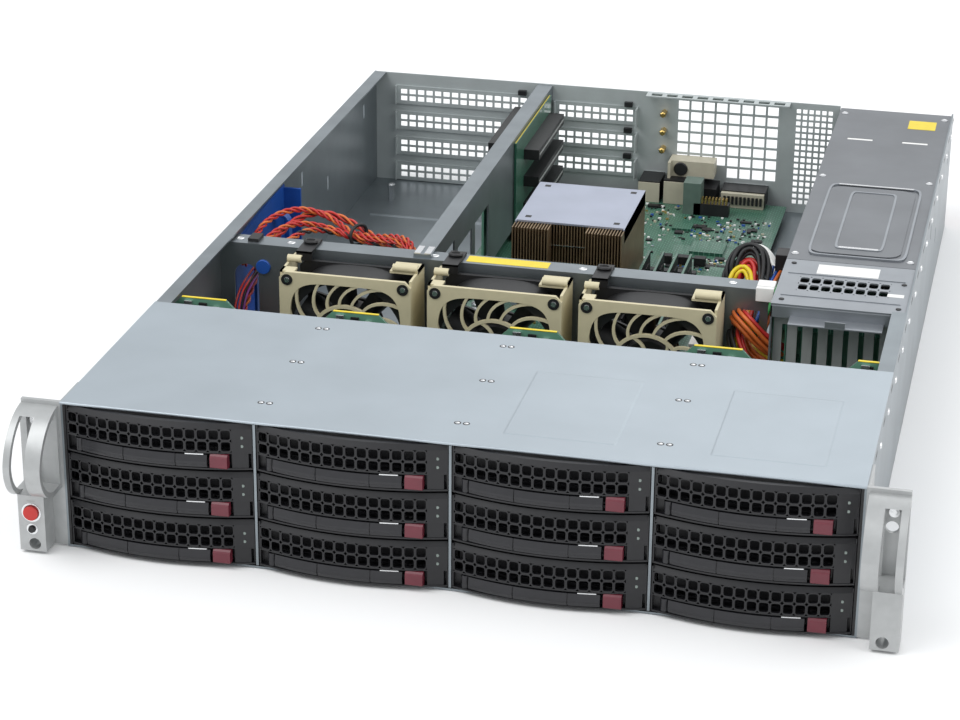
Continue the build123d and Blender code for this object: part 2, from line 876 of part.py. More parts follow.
def power_board():
    """Distribution board with its outlet and plugs, and the slotted screen in front of it."""
    left = supply_left + supply_sheet + seat_gap
    right = inner_half - seat_gap
    face = box_face(left, right, sheet, supply_top - cap_step)
    slot = (right - left) / grid_slots - grid_web
    for x in spread(grid_slots, left, right):
        face -= box_face(x - slot / 2, x + slot / 2, grid_low, grid_high)
    back = power_board_station + board_thickness
    board = block(left, right, power_board_station, back, sheet, supply_top - cap_step)
    outlet = block(outlet_left, outlet_left + outlet_size, power_board_station - outlet_size,
                   power_board_station, outlet_height - outlet_size / 2, outlet_height + outlet_size / 2)
    pieces = [upright(face, grid_station, supply_sheet), board, outlet]
    for index in range(2):
        level = supply_bottom(index) + supply_height / 2
        pieces.append(block(left + plug_inset, right - plug_inset, back, supply_front + supply_inset - seat_gap,
                            level - plug_half, level + plug_half))
    return pieces


def supply_bottom(index):
    """Height of a supply's underside."""
    return sheet + seat_gap + index * (supply_height + supply_sheet + 2 * seat_gap)


def supply_left_side():
    """Left side of a supply, which sits midway in its cage."""
    return (supply_left + inner_half - seat_gap - supply_width) / 2


def supply_module(index):
    """One supply: its case, the fan opening, the inlet and the pull loop at the rear."""
    left = supply_left_side()
    low = supply_bottom(index)
    back = supply_front + supply_inset + supply_length
    middle = low + supply_height / 2
    case = block(left, left + supply_width, supply_front + supply_inset, back, low, low + supply_height)
    fan_x = left + supply_width / 4
    case -= rod_y(fan_x, back - supply_fan_depth, middle, supply_fan_radius, supply_fan_depth + 1)
    case += block(fan_x - supply_fan_radius, fan_x + supply_fan_radius, back - supply_sheet, back,
                  middle - supply_sheet, middle + supply_sheet)
    case += block(fan_x - supply_sheet, fan_x + supply_sheet, back - supply_sheet, back,
                  middle - supply_fan_radius, middle + supply_fan_radius)
    inlet_x = left + supply_width * inlet_share
    floor = back - inlet_depth
    case -= block(inlet_x - inlet_width / 2, inlet_x + inlet_width / 2, floor, back + 1,
                  middle - inlet_height / 2, middle + inlet_height / 2)
    for across, up in ((-inlet_width / 4, -inlet_pin), (0, inlet_pin), (inlet_width / 4, -inlet_pin)):
        pin_x = inlet_x + across
        case += block(pin_x - supply_sheet, pin_x + supply_sheet, floor, floor + inlet_pin,
                      middle + up - inlet_pin / 2, middle + up + inlet_pin / 2)
    loop_x = left + supply_width / 2
    half = pull_height / 2
    loop = block(loop_x - pull_bar / 2, loop_x + pull_bar / 2, back, back + pull_reach, middle - half, middle + half)
    loop -= block(loop_x - pull_bar, loop_x + pull_bar, back, back + pull_reach - pull_bar,
                  middle - half + pull_bar, middle + half - pull_bar)
    return [case + loop]


def supply_latch(index):
    """Spring latch at the right of a supply's rear face, with its thumb tab."""
    back = supply_front + supply_inset + supply_length + seat_gap
    x = supply_left_side() + supply_width - latch_inset
    middle = supply_bottom(index) + supply_height / 2
    half = latch_height / 2
    latch = block(x, x + latch_leaf, back, back + latch_reach, middle - half, middle + half)
    latch += block(x - latch_thumb, x, back + latch_reach - latch_leaf, back + latch_reach,
                   middle - half, middle + half)
    return [latch]


# Ears

def ear_plate(side):
    """Flat plate beside the chassis front with its rack holes and the return on the wall."""
    inner = chassis_width / 2
    outer = rack_width / 2
    x0, x1 = (inner, outer) if side > 0 else (-outer, -inner)
    face = box_face(x0, x1, ear_edge / 2, chassis_height - ear_edge / 2)
    for z in (rack_hole_low, rack_hole_low + rack_hole_pitch):
        face -= Pos(side * rack_hole_span / 2, z) * Circle(rack_hole_radius)
    plate = upright(face, 0, ear_sheet)
    wall0, wall1 = (inner, inner + ear_edge) if side > 0 else (-inner - ear_edge, -inner)
    plate += block(wall0, wall1, ear_sheet, ear_return, ear_edge, chassis_height - ear_edge)
    return plate


def handle(side):
    """Bent band standing in front of the ear, cut through by a tall slot for the fingers."""
    top = chassis_height - 2 * ear_edge
    foot = panel_top
    crown = ThreePointArc((0, top), (-handle_reach * handle_crown, top - handle_drop / 2),
                          (-handle_reach, top - handle_drop))
    tail = ThreePointArc((-handle_reach, top - handle_drop),
                         (-handle_reach * handle_tail, foot + handle_tail_rise), (-panel_depth, foot))
    outline = Curve() + [crown, tail, Polyline((-panel_depth, foot), (0, foot), (0, top))]
    side_face = make_face(outline)
    ring = side_face - offset(side_face, -handle_band)
    outer = rack_width / 2
    inner_rail, outer_rail = handle_inner + handle_rail, outer - handle_side
    solid = extrude(Plane.YZ * ring, outer - handle_inner)
    solid = Pos(handle_inner if side > 0 else -outer, 0, 0) * solid
    slot0, slot1 = (inner_rail, outer_rail) if side > 0 else (-outer_rail, -inner_rail)
    solid -= block(slot0, slot1, -handle_reach - 1, 0, foot + handle_band, top - handle_band)
    return solid


def ear(side):
    """Ear with its handle above and its control box or plain box below."""
    outer = rack_width / 2
    x0, x1 = (panel_inner, outer) if side > 0 else (-outer, -panel_inner)
    box = block(x0, x1, -panel_depth, 0, ear_edge, panel_top)
    box -= rod_y(side * rack_hole_span / 2, -panel_depth - 1, rack_hole_low, rack_hole_radius, panel_depth + 2)
    if side < 0:
        for radius, level in ((power_button_radius, button_height), (reset_button_radius, reset_height)):
            box -= rod_y(button_x(), -panel_depth - 1, level, radius + seat_gap, button_well + 1)
    return [ear_plate(side) + handle(side) + box]


def button_x():
    """Place of the buttons across the control box."""
    return -(panel_inner + rack_width / 2) / 2


def push_button(radius, level):
    """A round button that stands a little proud of the control box."""
    length = button_well + button_proud - button_stroke - seat_gap
    return [rod_y(button_x(), -panel_depth - button_proud, level, radius, length)]


# Wires

def lead(points, radius):
    """A slim lead along straight runs that are joined by arcs as large as the runs allow."""
    bends = []
    for before, here, after in zip(points, points[1:], points[2:]):
        first = Vector(*here) - Vector(*before)
        second = Vector(*after) - Vector(*here)
        turn = math.radians(first.get_angle(second))
        shorter = min(first.length, second.length)
        bends.append(0.45 * shorter / math.tan(turn / 2))
    print("bend radii", [round(bend, 1) for bend in bends], "for radius", radius)
    path = FilletPolyline(*points, radius=bends)
    start = Plane(origin=path @ 0, z_dir=path % 0)
    return sweep(start * RegularPolygon(radius, lead_sides), path=path)


def wire_harness():
    """Two held leads: backplane to the fan socket at the left, power board to its socket at the right."""
    backplane_back = backplane_station + board_thickness + seat_gap
    fan_x, fan_y = fan_socket[:2]
    fan_end = board_top() + fan_socket[4] + seat_gap
    fan_route = [(-200, backplane_back, 24), (-200, 214, 22), (-200, 256, 38), (-200, 292, 58),
                 (-194, 330, 75), (-176, 354, 80), (-148, 356, 70), (-122, 336, 60),
                 (fan_x, fan_y, 50), (fan_x, fan_y, fan_end)]
    power_x, power_y = power_socket[:2]
    power_end = board_top() + power_socket[4] + seat_gap
    supply_y = (cap_gate_start + cap_gate_end) / 2
    supply_route = [(outlet_left - seat_gap, supply_y, outlet_height), (119, supply_y, outlet_height + 4),
                    (119, 294, 56), (100, 318, 60), (power_x, power_y, 50), (power_x, power_y, power_end)]
    return [lead(fan_route, fan_lead_radius), lead(supply_route, supply_lead_radius)]


def cable_guide():
    """Moulded channel on the left wall that the fan leads run through."""
    x = -inner_half
    guide = block(x, x + guide_wall, guide_start, guide_end, guide_low, guide_top)
    guide += block(x, x + guide_reach, guide_start, guide_end, guide_low, guide_low + guide_wall)
    guide += block(x, x + guide_reach, guide_end - guide_wall, guide_end, guide_low, guide_top)
    return [guide]


parts = {
    "chassis_tub": chassis_tub,
    "rear_panel": rear_panel,
    "slot_covers": slot_covers,
    "bay_cover": bay_cover,
    "drive_cage": drive_cage,
    "drive_backplane": drive_backplane,
    "fan_wall": fan_wall,
    "mainboard": mainboard,
    "board_connectors": board_connectors,
    "memory_modules": memory_modules,
    "heat_sink": heat_sink,
    "center_brace": center_brace,
    "riser_cards": riser_cards,
    "supply_cage": supply_cage,
    "supply_cap": supply_cap,
    "power_board": power_board,
    "left_ear": lambda: ear(-1),
    "right_ear": lambda: ear(1),
    "power_button": lambda: push_button(power_button_radius, button_height),
    "reset_button": lambda: push_button(reset_button_radius, reset_height),
    "wire_harness": wire_harness,
    "cable_guide": cable_guide,
}
for index in range(3):
    parts[f"fan_housing_{index + 1}"] = lambda index=index: fan_housing(index)
    parts[f"fan_frame_{index + 1}"] = lambda index=index: fan_frame(index)
    parts[f"fan_rotor_{index + 1}"] = lambda index=index: fan_rotor(index)
for index in range(2):
    parts[f"supply_module_{index + 1}"] = lambda index=index: supply_module(index)
    parts[f"supply_latch_{index + 1}"] = lambda index=index: supply_latch(index)
for column in range(columns):
    for row in range(rows):
        name = f"{column + 1}{'abc'[row]}"
        parts[f"drive_carrier_{name}"] = lambda column=column, row=row: drive_carrier(column, row)
        parts[f"carrier_lever_{name}"] = lambda column=column, row=row: carrier_lever(column, row)

os.makedirs("parts", exist_ok=True)
for name, make in parts.items():
    export_step(place(make()), f"parts/{name}.step")
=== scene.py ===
"""Looks of a two-unit rack server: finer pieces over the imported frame, finishes, stage and camera.

Lengths are millimetres from the front plane (x across, y the station behind the front, z above the
base) until metres() turns them into the frame.
"""

import json
import math

import bpy
import numpy as np
from bpy.props import FloatProperty, IntProperty, PointerProperty
from mathutils import Matrix, Vector


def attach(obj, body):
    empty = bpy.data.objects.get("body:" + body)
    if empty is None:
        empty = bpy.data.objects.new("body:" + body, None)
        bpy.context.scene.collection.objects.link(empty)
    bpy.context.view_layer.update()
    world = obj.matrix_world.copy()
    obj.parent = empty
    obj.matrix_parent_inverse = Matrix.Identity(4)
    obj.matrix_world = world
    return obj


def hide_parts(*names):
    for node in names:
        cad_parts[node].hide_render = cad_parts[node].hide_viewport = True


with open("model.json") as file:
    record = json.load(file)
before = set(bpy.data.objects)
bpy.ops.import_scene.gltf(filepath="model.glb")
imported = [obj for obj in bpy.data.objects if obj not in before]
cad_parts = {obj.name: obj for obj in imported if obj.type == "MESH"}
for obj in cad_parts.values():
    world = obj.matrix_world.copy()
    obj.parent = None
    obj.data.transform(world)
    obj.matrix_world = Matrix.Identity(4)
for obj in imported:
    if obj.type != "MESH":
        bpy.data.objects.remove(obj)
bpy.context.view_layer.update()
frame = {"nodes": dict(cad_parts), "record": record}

bl_info = {
    "name": "Rack server looks",
    "version": (1, 0, 0),
    "blender": (4, 5, 0),
    "location": "3D View > Sidebar > Server",
    "description": "Builds the visible pieces, finishes and stage of a two-unit rack server",
    "category": "Object",
}

# Levels and stations of the CAD that several pieces share, in millimetres
HALF_DEPTH = 324.0
FLOOR_TOP = 1.2
BOARD_TOP = 8.8
BAR_TOP = 84.0
CAP_UNDER, CAP_TOP = 84.2, 85.15
COVER_TOP = 87.5
REAR_FACE = 647.95
COLUMN_PITCH = 108.275
ROW_PITCH = 28.5333
CARRIER_LOW = 2.1
BEZEL_HALF = 52.9875
HINGE_X = -45.4875
GUARD_FRONT, GUARD_BACK = 230.0, 232.4
FAN_X = (-123.7, -29.3, 65.1)
FAN_LEVEL = 41.4
SLOT_PITCH = 20.32
# Places of u, v and depth among x, y and z for a sheet in each plane
ORDERS = {"xz": (0, 2, 1), "xy": (0, 1, 2), "yz": (2, 0, 1)}
finishes = {}


# Shapes

def metres(points):
    """Front-plane millimetres to the frame: (x, y - 324, z) / 1000."""
    points = np.asarray(points, float).reshape(-1, 3)
    return (points - (0.0, HALF_DEPTH, 0.0)) / 1000.0


def boxes(limits, mark=0):
    """Closed blocks, one to a row of (x0, x1, y0, y1, z0, z1): corner (i, j, k) is (x_i, y_j, z_k)."""
    limits = np.atleast_2d(np.asarray(limits, float))
    pick = np.array([(i, j, k) for k in (0, 1) for j in (0, 1) for i in (0, 1)])
    points = np.stack([limits[:, 2 * axis + pick[:, axis]] for axis in range(3)], axis=-1)
    quads = np.array([(0, 2, 3, 1), (4, 5, 7, 6), (0, 1, 5, 4), (2, 6, 7, 3), (0, 4, 6, 2), (1, 3, 7, 5)])
    faces = quads[None] + 8 * np.arange(len(limits))[:, None, None]
    return points.reshape(-1, 3), [faces.reshape(-1, 4)], mark


def lattice(us, vs, keep, front, back, plane="xz", mark=0):
    """Closed sheet with rectangular openings: grid points (u_i, v_j) at the front and back levels,
    a quad on both sides of every kept cell and a wall wherever a kept cell meets an open one."""
    across, up = np.meshgrid(us, vs, indexing="ij")
    near = np.broadcast_to(front, across.shape).ravel()
    far = np.broadcast_to(back, across.shape).ravel()
    levels = np.concatenate([near, far])
    points = np.column_stack([np.tile(across.ravel(), 2), np.tile(up.ravel(), 2), levels])[:, ORDERS[plane]]
    count = across.size
    index = np.arange(count).reshape(across.shape)
    a, b, c, d = index[:-1, :-1], index[1:, :-1], index[1:, 1:], index[:-1, 1:]
    wide = np.pad(keep, 1)
    left, right = keep & ~wide[:-2, 1:-1], keep & ~wide[2:, 1:-1]
    low, high = keep & ~wide[1:-1, :-2], keep & ~wide[1:-1, 2:]
    quads = np.concatenate([
        np.stack([a, b, c, d], -1)[keep], np.stack([d, c, b, a], -1)[keep] + count,
        np.stack([a, d, d + count, a + count], -1)[left],
        np.stack([c, b, b + count, c + count], -1)[right],
        np.stack([b, a, a + count, b + count], -1)[low],
        np.stack([d, c, c + count, d + count], -1)[high]])
    used, faces = np.unique(quads, return_inverse=True)
    return points[used], [faces.reshape(quads.shape)], mark


def window_sheet(limits, windows, front, back, plane="xz", mark=0):
    """Sheet between limits (u0, u1, v0, v1) less windows of the same form: the lines of the grid are
    all the edges, and a cell is open when its middle lies inside a window."""
    windows = np.atleast_2d(np.asarray(windows, float))
    us = np.unique(np.round(np.concatenate([limits[:2], windows[:, :2].ravel()]), 4))
    vs = np.unique(np.round(np.concatenate([limits[2:], windows[:, 2:].ravel()]), 4))
    u_mid, v_mid = (us[1:] + us[:-1]) / 2, (vs[1:] + vs[:-1]) / 2
    in_u = (u_mid[None] > windows[:, :1]) & (u_mid[None] < windows[:, 1:2])
    in_v = (v_mid[None] > windows[:, 2:3]) & (v_mid[None] < windows[:, 3:4])
    keep = ~(in_u[:, :, None] & in_v[:, None, :]).any(axis=0)
    return lattice(us, vs, keep, front, back, plane, mark)


def grid_windows(u0, u1, columns, v0, v1, rows, web_u, web_v):
    """Equal windows in a field: each cell of the field less half a web on every side."""
    us, vs = np.linspace(u0, u1, columns + 1), np.linspace(v0, v1, rows + 1)
    cells = [(us[i] + web_u / 2, us[i + 1] - web_u / 2, vs[j] + web_v / 2, vs[j + 1] - web_v / 2)
             for i in range(columns) for j in range(rows)]
    return np.array(cells)


def outline(half_u, half_v, power, count=32):
    """Closed superellipse |u/a|^n + |v/b|^n = 1, the point at angle t being
    a sgn(cos t) |cos t|^(2/n), b sgn(sin t) |sin t|^(2/n)."""
    turn = (np.arange(count) + 0.5) * 2 * np.pi / count
    cos, sin = np.cos(turn), np.sin(turn)
    return np.column_stack([half_u * np.sign(cos) * np.abs(cos) ** (2 / power),
                            half_v * np.sign(sin) * np.abs(sin) ** (2 / power)])


def square_outline(half_u, half_v, count=32):
    """Closed rectangle met by the rays of outline(): (cos t, sin t) / max(|cos t|, |sin t|)."""
    turn = (np.arange(count) + 0.5) * 2 * np.pi / count
    ray = np.column_stack([np.cos(turn), np.sin(turn)])
    return ray / np.abs(ray).max(axis=1, keepdims=True) * (half_u, half_v)


def ring_plate(outer, inner, front, back, plane="xz"):
    """Flat frames between outer and inner outlines, arrays (frames, points, 2): strips join the
    matching points on the front, the back, the outer wall and the inner wall."""
    frames, count = outer.shape[:2]
    loops = np.stack([outer, inner, outer, inner], axis=1)
    depth = np.empty((frames, 4, count, 1))
    depth[:, :2] = front
    depth[:, 2:] = back
    flat = np.concatenate([loops, depth], axis=-1).reshape(-1, 3)
    here = np.arange(count)
    after = (here + 1) % count
    of, nf, ob, nb = 0, count, 2 * count, 3 * count
    quads = np.concatenate([
        np.stack([of + here, of + after, nf + after, nf + here], -1),
        np.stack([ob + after, ob + here, nb + here, nb + after], -1),
        np.stack([of + here, ob + here, ob + after, of + after], -1),
        np.stack([nf + after, nb + after, nb + here, nf + here], -1)])
    faces = quads[None] + 4 * count * np.arange(frames)[:, None, None]
    return flat[:, ORDERS[plane]], [faces.reshape(-1, 4)], 0


def round_ring(outer, inner, centre, front, back, sides=32):
    """Flat ring between the circles of two radii about a centre."""
    circles = [outline(radius, radius, 2.0, sides)[None] + centre for radius in (outer, inner)]
    return ring_plate(*circles, front, back)


def arc_strip(centre, outer, inner, turn, side):
    """Profile of a bent strip: c + r (s cos t, sin t) along the outer radius and back along the
    inner one, s being the side."""
    arcs = [np.column_stack([centre[0] + side * radius * np.cos(turn), centre[1] + radius * np.sin(turn)])
            for radius in (outer, inner)]
    return np.concatenate([arcs[0], arcs[1][::-1]])


def swept(profile, stations, shift=0.0, plane="yz", mark=0):
    """Closed profile in the yz or xz plane carried across it: section k is the profile plus shift_k at
    station k, the sections are joined by strips and the ends closed by one polygon each."""
    profile = np.asarray(profile, float)
    stations = np.asarray(stations, float)
    u, v = profile.T
    area = np.sum(u * np.roll(v, -1) - v * np.roll(u, -1))
    if (area < 0) != (plane == "xz"):
        profile = profile[::-1]
    shift = np.broadcast_to(np.asarray(shift, float).reshape(-1, 1), (len(stations), 1))
    first = profile[None, :, 0] + shift
    second = np.broadcast_to(profile[None, :, 1], first.shape)
    along = np.broadcast_to(stations[:, None], first.shape)
    stack = (along, first, second) if plane == "yz" else (first, along, second)
    points = np.stack(stack, axis=-1).reshape(-1, 3)
    count = len(profile)
    index = np.arange(len(stations) * count).reshape(len(stations), count)
    after = np.roll(index, -1, axis=1)
    sides = np.stack([index[:-1], after[:-1], after[1:], index[1:]], -1).reshape(-1, 4)
    return points, [sides, index[:1, ::-1], index[-1:]], mark


def turned(centres, profile, axis="z", sides=12, stretch=1.0, mark=0):
    """Solids of revolution: ring k of each is r_k (cos t, sin t) across the axis at height h_k, the
    first and last rings closed by one polygon each; stretch widens them across."""
    centres = np.atleast_2d(np.asarray(centres, float))
    radius, height = np.asarray(profile, float).T
    turn = np.arange(sides) * 2 * np.pi / sides
    first = radius[:, None] * np.cos(turn) * (stretch if axis == "z" else 1.0)
    second = radius[:, None] * np.sin(turn)
    along = np.broadcast_to(height[:, None], first.shape)
    stack = {"z": (first, second, along), "y": (second, along, first),
             "x": (along, first, second)}[axis]
    solid = np.stack(stack, axis=-1).reshape(-1, 3)
    count = len(solid)
    points = (centres[:, None] + solid[None]).reshape(-1, 3)
    index = np.arange(count).reshape(len(radius), sides)
    after = np.roll(index, -1, axis=1)
    strips = np.stack([index[:-1], after[:-1], after[1:], index[1:]], -1).reshape(-1, 4)
    step = count * np.arange(len(centres))[:, None, None]
    return points, [(face[None] + step).reshape(-1, face.shape[1])
                    for face in (strips, index[:1, ::-1], index[-1:])], mark


def shell(front, back):
    """Closed skin from two grids of points with the same form: both grids' quads and a strip round
    the border between them."""
    rows, columns = front.shape[:2]
    count = rows * columns
    points = np.concatenate([front.reshape(-1, 3), back.reshape(-1, 3)])
    index = np.arange(count).reshape(rows, columns)
    a, b, c, d = index[:-1, :-1], index[1:, :-1], index[1:, 1:], index[:-1, 1:]
    quads = np.stack([a, b, c, d], -1).reshape(-1, 4)
    border = np.concatenate([index[:-1, 0], index[-1, :-1], index[:0:-1, -1], index[0, :0:-1]])
    after = np.roll(border, -1)
    rim = np.stack([after, border, border + count, after + count], -1)
    return points, [np.concatenate([quads, quads[:, ::-1] + count, rim])], 0


def bow(x, bulge=8.0):
    """Station of a bezel's bowed front: R - b - sqrt(R^2 - x^2), with R the radius of an arc as wide
    as the bezel and b deep."""
    radius = (BEZEL_HALF ** 2 + bulge ** 2) / (2 * bulge)
    return radius - bulge - np.sqrt(radius ** 2 - np.asarray(x, float) ** 2)


def moved(part, offset):
    """A part with the offset added to every point."""
    points, faces, mark = part
    return points + np.asarray(offset, float), faces, mark


def piece(name, parts, materials, body="chassis", hides=(), smooth=False, bevel=0.0):
    """One mesh object at the origin from parts, whose marks choose among the materials."""
    points, faces, marks, start = [], [], [], 0
    for part_points, part_faces, mark in parts:
        points.append(part_points)
        for group in part_faces:
            faces.extend((group + start).tolist())
            marks.append(np.full(len(group), mark))
        start += len(part_points)
    mesh = bpy.data.meshes.new(name)
    mesh.from_pydata(metres(np.concatenate(points)).tolist(), [], faces)
    for material in materials:
        mesh.materials.append(finishes[material])
    mesh.polygons.foreach_set("material_index", np.concatenate(marks).astype(np.int32))
    if smooth:
        mesh.polygons.foreach_set("use_smooth", np.ones(len(faces), dtype=bool))
        mesh.set_sharp_from_angle(angle=math.radians(35.0))
    mesh.update()
    obj = bpy.data.objects.new(name, mesh)
    bpy.context.scene.collection.objects.link(obj)
    if bevel:
        edge = obj.modifiers.new("edge", "BEVEL")
        edge.width = bevel / 1000.0
        edge.segments = 2
        edge.limit_method = "ANGLE"
    if hides:
        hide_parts(*hides)
    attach(obj, body)
    return obj


def add_spline(curve, points):
    """An open quadratic NURBS spline from end to end with the points (metres) as control points."""
    spline = curve.splines.new("NURBS")
    spline.points.add(len(points) - 1)
    spline.points.foreach_set("co", np.column_stack([points, np.ones(len(points))]).ravel())
    spline.order_u = 3
    spline.use_endpoint_u = True


def spline_points(points):
    """Points along the NURBS spline of a route in metres, as Blender samples it without a bevel."""
    curve = bpy.data.curves.new("route", "CURVE")
    curve.dimensions = "3D"
    curve.resolution_u = 16
    add_spline(curve, points)
    holder = bpy.data.objects.new("route", curve)
    mesh = bpy.data.meshes.new_from_object(holder)
    line = np.empty(len(mesh.vertices) * 3)
    mesh.vertices.foreach_get("co", line)
    bpy.data.meshes.remove(mesh)
    bpy.data.objects.remove(holder)
    bpy.data.curves.remove(curve)
    return line.reshape(-1, 3)


def wires(name, routes, radius, material, hides=()):
    """One curve object with an open spline for every route of points in metres."""
    curve = bpy.data.curves.new(name, "CURVE")
    curve.dimensions = "3D"
    curve.bevel_depth = radius / 1000.0
    curve.bevel_resolution = 2
    curve.resolution_u = 6
    for route in routes:
        add_spline(curve, np.asarray(route, float))
    curve.materials.append(finishes[material])
    obj = bpy.data.objects.new(name, curve)
    bpy.context.scene.collection.objects.link(obj)
    if hides:
        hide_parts(*hides)
    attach(obj, "chassis")
    return obj


def twisted(route, strands, radius, turns, phase=0.0):
    """Routes of strands wound round a route's NURBS spline p, evenly along its length: the point at
    share s is p(s) + r (cos(2 pi n s + a), sin(2 pi n s + a)) across the spline's direction. The
    route is in metres, the radius in millimetres."""
    line = spline_points(route)
    radius = radius / 1000.0
    run = np.concatenate([[0.0], np.cumsum(np.linalg.norm(np.diff(line, axis=0), axis=1))])
    share = np.linspace(0.0, 1.0, max(24, int(turns * 10)))
    middle = np.column_stack([np.interp(share * run[-1], run, line[:, k]) for k in range(3)])
    along = np.gradient(middle, axis=0)
    along /= np.linalg.norm(along, axis=1, keepdims=True)
    side = np.cross(along, (0.31, 0.17, 0.93))
    side /= np.linalg.norm(side, axis=1, keepdims=True)
    other = np.cross(along, side)
    routes = []
    for strand in range(strands):
        turn = (2 * np.pi * (turns * share + strand / strands) + phase)[:, None]
        routes.append(middle + radius * (np.cos(turn) * side + np.sin(turn) * other))
    return routes


def wound(name, route, radius, turns, phase, thick, colours):
    """Wires of several colours wound as one bundle about a route in metres, each colour taking the
    next few strands."""
    strands = twisted(route, sum(count for _, count in colours), radius, turns, phase)
    first = 0
    for colour, count in colours:
        wires(f"{name}_{colour}", strands[first:first + count], thick, colour)
        first += count


# Finishes

def finish(name, colour, roughness, metallic=0.0, vary=0.12, scale=60.0, bump=0.05, coat=0.0):
    """A material whose colour wanders between two nearby tones with noise over the object's own
    coordinates, and whose surface rises and falls slightly with the same noise."""
    material = bpy.data.materials.new(name)
    material.use_nodes = True
    nodes, links = material.node_tree.nodes, material.node_tree.links
    shader = nodes["Principled BSDF"]
    shader.inputs["Roughness"].default_value = roughness
    shader.inputs["Metallic"].default_value = metallic
    shader.inputs["Coat Weight"].default_value = coat
    place = nodes.new("ShaderNodeTexCoord")
    noise = nodes.new("ShaderNodeTexNoise")
    noise.inputs["Scale"].default_value = scale
    noise.inputs["Detail"].default_value = 5.0
    ramp = nodes.new("ShaderNodeValToRGB")
    for element, position, share in zip(ramp.color_ramp.elements, (0.3, 0.7), (1 - vary, 1 + vary)):
        element.position = position
        element.color = [min(1.0, c * share) for c in colour] + [1.0]
    rise = nodes.new("ShaderNodeBump")
    rise.inputs["Strength"].default_value = bump
    rise.inputs["Distance"].default_value = 0.0004
    links.new(place.outputs["Object"], noise.inputs["Vector"])
    links.new(noise.outputs["Fac"], ramp.inputs["Fac"])
    links.new(ramp.outputs["Color"], shader.inputs["Base Color"])
    links.new(noise.outputs["Fac"], rise.inputs["Height"])
    links.new(rise.outputs["Normal"], shader.inputs["Normal"])
    finishes[name] = material
    return material


def board_finish(name, dark, light):
    """Lacquered board: thin brick lines over the object's coordinates stand for its copper traces."""
    material = finish(name, dark, 0.38, vary=0.15, scale=90.0, bump=0.03, coat=0.4)
    nodes, links = material.node_tree.nodes, material.node_tree.links
    bricks = nodes.new("ShaderNodeTexBrick")
    bricks.inputs["Scale"].default_value = 130.0
    bricks.inputs["Mortar Size"].default_value = 0.03
    bricks.inputs["Color1"].default_value = (*dark, 1.0)
    bricks.inputs["Color2"].default_value = (*[c * 0.8 for c in dark], 1.0)
    bricks.inputs["Mortar"].default_value = (*light, 1.0)
    place = next(node for node in nodes if node.type == "TEX_COORD")
    links.new(place.outputs["Object"], bricks.inputs["Vector"])
    links.new(bricks.outputs["Color"], nodes["Principled BSDF"].inputs["Base Color"])


# Name, colour, roughness, metallic, spread of the tones, scale of the noise, height of the bumps
FINISHES = (
    # zinc is a darker copy of the cover's galvanised steel: its low tone paints the shade inside the tub
    ("zinc", (0.25, 0.28, 0.30), 0.36, 0.8, 0.10, 35.0, 0.05),
    ("cover_zinc", (0.40, 0.45, 0.49), 0.42, 0.6, 0.04, 22.0, 0.03),
    ("cage_zinc", (0.19, 0.20, 0.215), 0.34, 0.8, 0.08, 30.0, 0.05),
    ("cap_zinc", (0.30, 0.32, 0.345), 0.38, 0.65, 0.05, 60.0, 0.04),
    ("rear_zinc", (0.46, 0.50, 0.50), 0.45, 0.3, 0.06, 60.0, 0.04),
    ("screen", (0.40, 0.41, 0.40), 0.42, 0.2, 0.08, 60.0, 0.04),
    ("bright", (0.78, 0.79, 0.80), 0.25, 0.95, 0.06, 80.0, 0.03),
    ("silver_coat", (0.42, 0.43, 0.43), 0.40, 0.45, 0.05, 160.0, 0.06),
    ("lavender", (0.40, 0.43, 0.52), 0.40, 0.55, 0.05, 40.0, 0.03),
    ("copper", (0.27, 0.19, 0.11), 0.42, 0.7, 0.2, 70.0, 0.05),
    ("supply_sheet", (0.30, 0.31, 0.32), 0.40, 0.85, 0.08, 50.0, 0.04),
    ("black", (0.010, 0.010, 0.011), 0.48, 0.0, 0.2, 200.0, 0.08),
    ("carrier", (0.008, 0.008, 0.010), 0.42, 0.0, 0.15, 260.0, 0.08),
    ("lever", (0.014, 0.014, 0.017), 0.33, 0.0, 0.12, 260.0, 0.05),
    ("cream", (0.60, 0.54, 0.36), 0.48, 0.0, 0.04, 120.0, 0.05),
    ("maroon", (0.13, 0.020, 0.032), 0.35, 0.0, 0.08, 120.0, 0.03),
    ("red", (0.50, 0.025, 0.02), 0.35, 0.0, 0.08, 120.0, 0.03),
    ("blue", (0.014, 0.08, 0.36), 0.42, 0.0, 0.1, 120.0, 0.04),
    ("orange", (0.62, 0.14, 0.025), 0.42, 0.0, 0.1, 200.0, 0.02),
    ("yellow", (0.78, 0.60, 0.02), 0.42, 0.0, 0.06, 150.0, 0.02),
    ("white", (0.80, 0.80, 0.78), 0.50, 0.0, 0.03, 150.0, 0.02),
    ("grey", (0.36, 0.37, 0.36), 0.50, 0.0, 0.06, 150.0, 0.02),
    ("purple", (0.16, 0.03, 0.20), 0.45, 0.0, 0.1, 150.0, 0.02),
    ("green", (0.03, 0.28, 0.06), 0.45, 0.0, 0.1, 150.0, 0.02),
    ("brass", (0.60, 0.42, 0.14), 0.3, 0.9, 0.08, 90.0, 0.03),
    ("beige", (0.48, 0.45, 0.35), 0.5, 0.0, 0.06, 120.0, 0.03),
    ("port_green", (0.10, 0.15, 0.125), 0.45, 0.0, 0.1, 120.0, 0.03),
    ("led", (0.20, 0.24, 0.22), 0.3, 0.0, 0.1, 200.0, 0.01),
)


